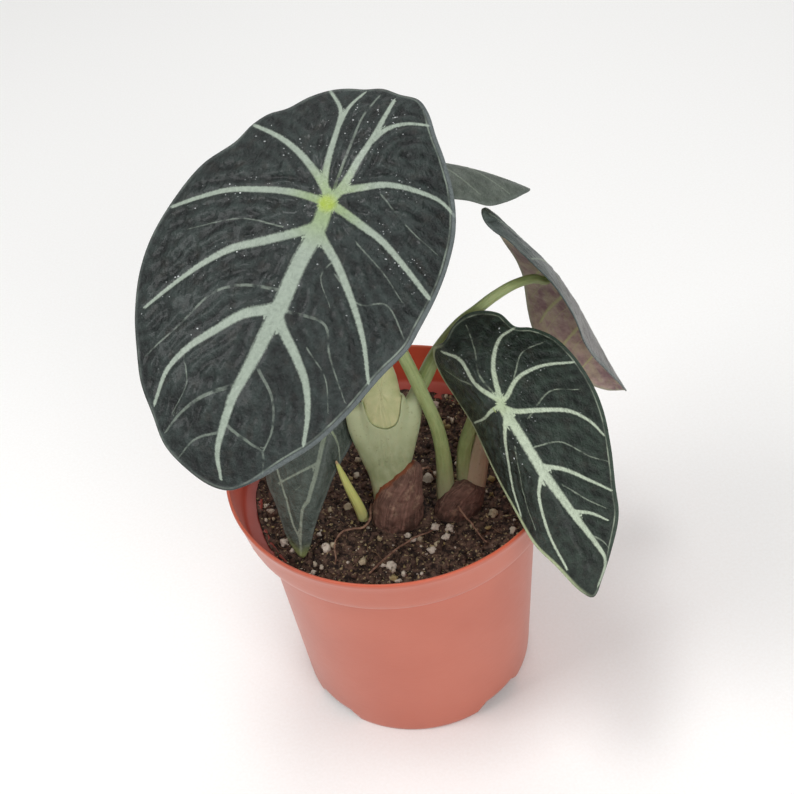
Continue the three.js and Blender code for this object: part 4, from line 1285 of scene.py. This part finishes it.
def makePerlite():
    chance = random.Random(4)
    material = perliteFinish()
    points, faces = ball(3)
    for i in range(1, 15):
        low, high = (np.array(corner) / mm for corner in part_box(f"perlite_{i}"))
        centre, size = (low + high) / 2, (high - low).min() / 2
        swell = 1 + 0.5 * ripple(points, 0.9, 3.0 * i) + 0.26 * ripple(points, 0.35, 5.0 * i)
        shape = points * swell[:, None] * ((high - low) / 2 * 0.98)
        tint = np.full(len(points), 0.75 if i in (8, 11, 14) else 0.3 * chance.random())
        made = makeMesh(f"perlite{i}", centre + shape, faces, {"tint": tint})
        settle(made, "perlite", [f"perlite_{i}"], material)

    points, faces = ball(2)
    few = ball(1)
    grains = []
    while len(grains) < mix["grit"]:
        x, y = scattered(chance, mix["gritReach"])
        front = 0.55 + 0.45 * smoothStep(-y, -10, 25)
        if chance.random() > front or not clearOfStems(x, y, 0.2):
            continue
        size = 0.2 + 0.95 * chance.random() ** 4
        base, baseFaces = (points, faces) if size > 0.7 else few
        shape = base * (1 + 0.36 * np.array([[chance.uniform(-1, 1)] for _ in base]))
        shape = shape * [size * chance.uniform(0.6, 1.4) for _ in range(3)]
        tint = np.full(len(base), chance.random() ** 0.45)
        grains.append((shape + (x, y, float(mixHeight(x, y)) + size * 0.5), baseFaces, {"tint": tint}))
    made = makeMesh("perliteGrit", *together(grains))
    settle(made, "perlite", [], material)
    print("perlite made")


# Roots: the three large ones lie where the model has them, and one more springs from the main corm
roots = {
    "root_1": (0.42, [
        (-9.6, -8.9, 92.4), (-10.2, -12.2, 90.4), (-11.8, -15.7, 89.4), (-14.1, -17.1, 89.2),
        (-16.8, -17.0, 89.3), (-21.3, -18.2, 89.3), (-24.2, -22.4, 89), (-24.2, -28, 89),
        (-24.6, -32, 88.6),
    ]),
    "root_2": (0.36, [
        (-13, -38, 88.2), (-9, -34.6, 89.1), (-2, -29, 89.2), (4, -25.4, 89.2), (9, -23.6, 89),
        (11, -22.4, 88.4),
    ]),
    "root_3": (0.38, [
        (20.6, -18.2, 94.6), (21.8, -18.9, 92.2), (23.4, -20.6, 90.2), (25.4, -24.6, 89.4),
        (26.6, -28.2, 89.3), (28.8, -31.6, 88.6),
    ]),
    "": (0.4, [
        (8.6, -9, 105.4), (10.6, -7.2, 104.6), (12.2, -4.6, 102), (13.4, -1.4, 96), (14.4, 1.6, 90.4),
        (14.8, 3, 88),
    ]),
}


def rootFinish(name, pale, dark):
    skin = Finish(name, {"Specular IOR Level": 0.3})
    where = skin.place()
    share = skin.grain(where, 500, 4, 0.6).step(0.35, 0.7)
    return skin.paint(skin.mix(share, pale, dark), 0.6 + share * 0.2, skin.grain(where, 1500, 3), depth=0.15)


def makeRoots():
    material = rootFinish("rootSkin", tone(158, 124, 104), tone(108, 78, 64))
    for i, (node, (half, points)) in enumerate(roots.items()):
        wander = lineThrough(points, 8 * len(points))
        sway = np.stack([ripple(wander, 3.0, 7.0 + k + i) for k in range(3)], 1)
        wander = wander + 0.35 * sway * (1, 1, 0.4)
        thin = [half * (1.15 - 0.5 * k / len(wander)) for k in range(len(wander))]
        stations = [(*p, t, t) for p, t in zip(wander, thin)]
        made = makeMesh(f"root{i + 1}", *stemShape(stations, 10, 90))
        settle(made, "root", [node] if node else [], material)
    print("roots made")


drops = {
    # how many drops lie on each leaf, and where they gather: s, t and spread
    "count": {1: 210, 2: 60},
    "clusters": {
        1: [
            (-26, 2, 10), (-10, 22, 12), (6, 28, 14), (24, 10, 10), (-8, -20, 9), (12, -30, 8),
            (44, 34, 12), (-30, -14, 8),
        ],
        2: [(-14, -14, 8), (2, -22, 10), (14, 6, 8), (-18, 6, 8)],
    },
}


def makeDrops(made):
    chance = random.Random(23)
    dome, domeFaces = ball(1)
    beads = []
    for number, count in drops["count"].items():
        flat, upper, up, vein, rim = made[number][1:]
        clusters = drops["clusters"][number]
        placed = 0
        while placed < count:
            s, t, spread = chance.choice(clusters)
            s, t = chance.gauss(s, spread), chance.gauss(t, spread)
            k = int(np.argmin((flat[:, 0] - s) ** 2 + (flat[:, 1] - t) ** 2))
            if not 0.2 < vein[k] < 3.4 or rim[k] < 2.5:
                continue
            size = 0.12 + 0.2 * chance.random() ** 2.4
            side = unit(np.cross(up[k], (0.3, 0.8, 0.5)))
            other = np.cross(up[k], side)
            shape = dome * (size * chance.uniform(0.8, 1.6), size * chance.uniform(0.8, 1.2), size * 0.5)
            beads.append((upper[k] + shape @ np.stack([side, other, up[k]]), domeFaces, {}))
            placed += 1
    bead = makeMesh("dewDrops", *together(beads))
    water = Finish("dewDrop", {"Roughness": 0.03, "IOR": 1.36, "Coat Weight": 1.0, "Coat Roughness": 0.02})
    # painted glints: many drops take a pale, near-white base colour
    glintShare = water.grain(water.place(), 300).step(0.3, 0.7)
    settle(bead, "blade", [], water.paint(water.mix(glintShare, tone(70, 78, 76), tone(214, 218, 218))))
    print("drops made")


setStage()
makePot()
blades = {number: makeLeaf(number) for number in leaves}
makePetioles({number: made[0] for number, made in blades.items()})
mainSheath = makeSheaths()
makeCorms([mainSheath])
makeShoot()
makeMix()
makeCrumbs()
makePerlite()
makeRoots()
makeDrops(blades)
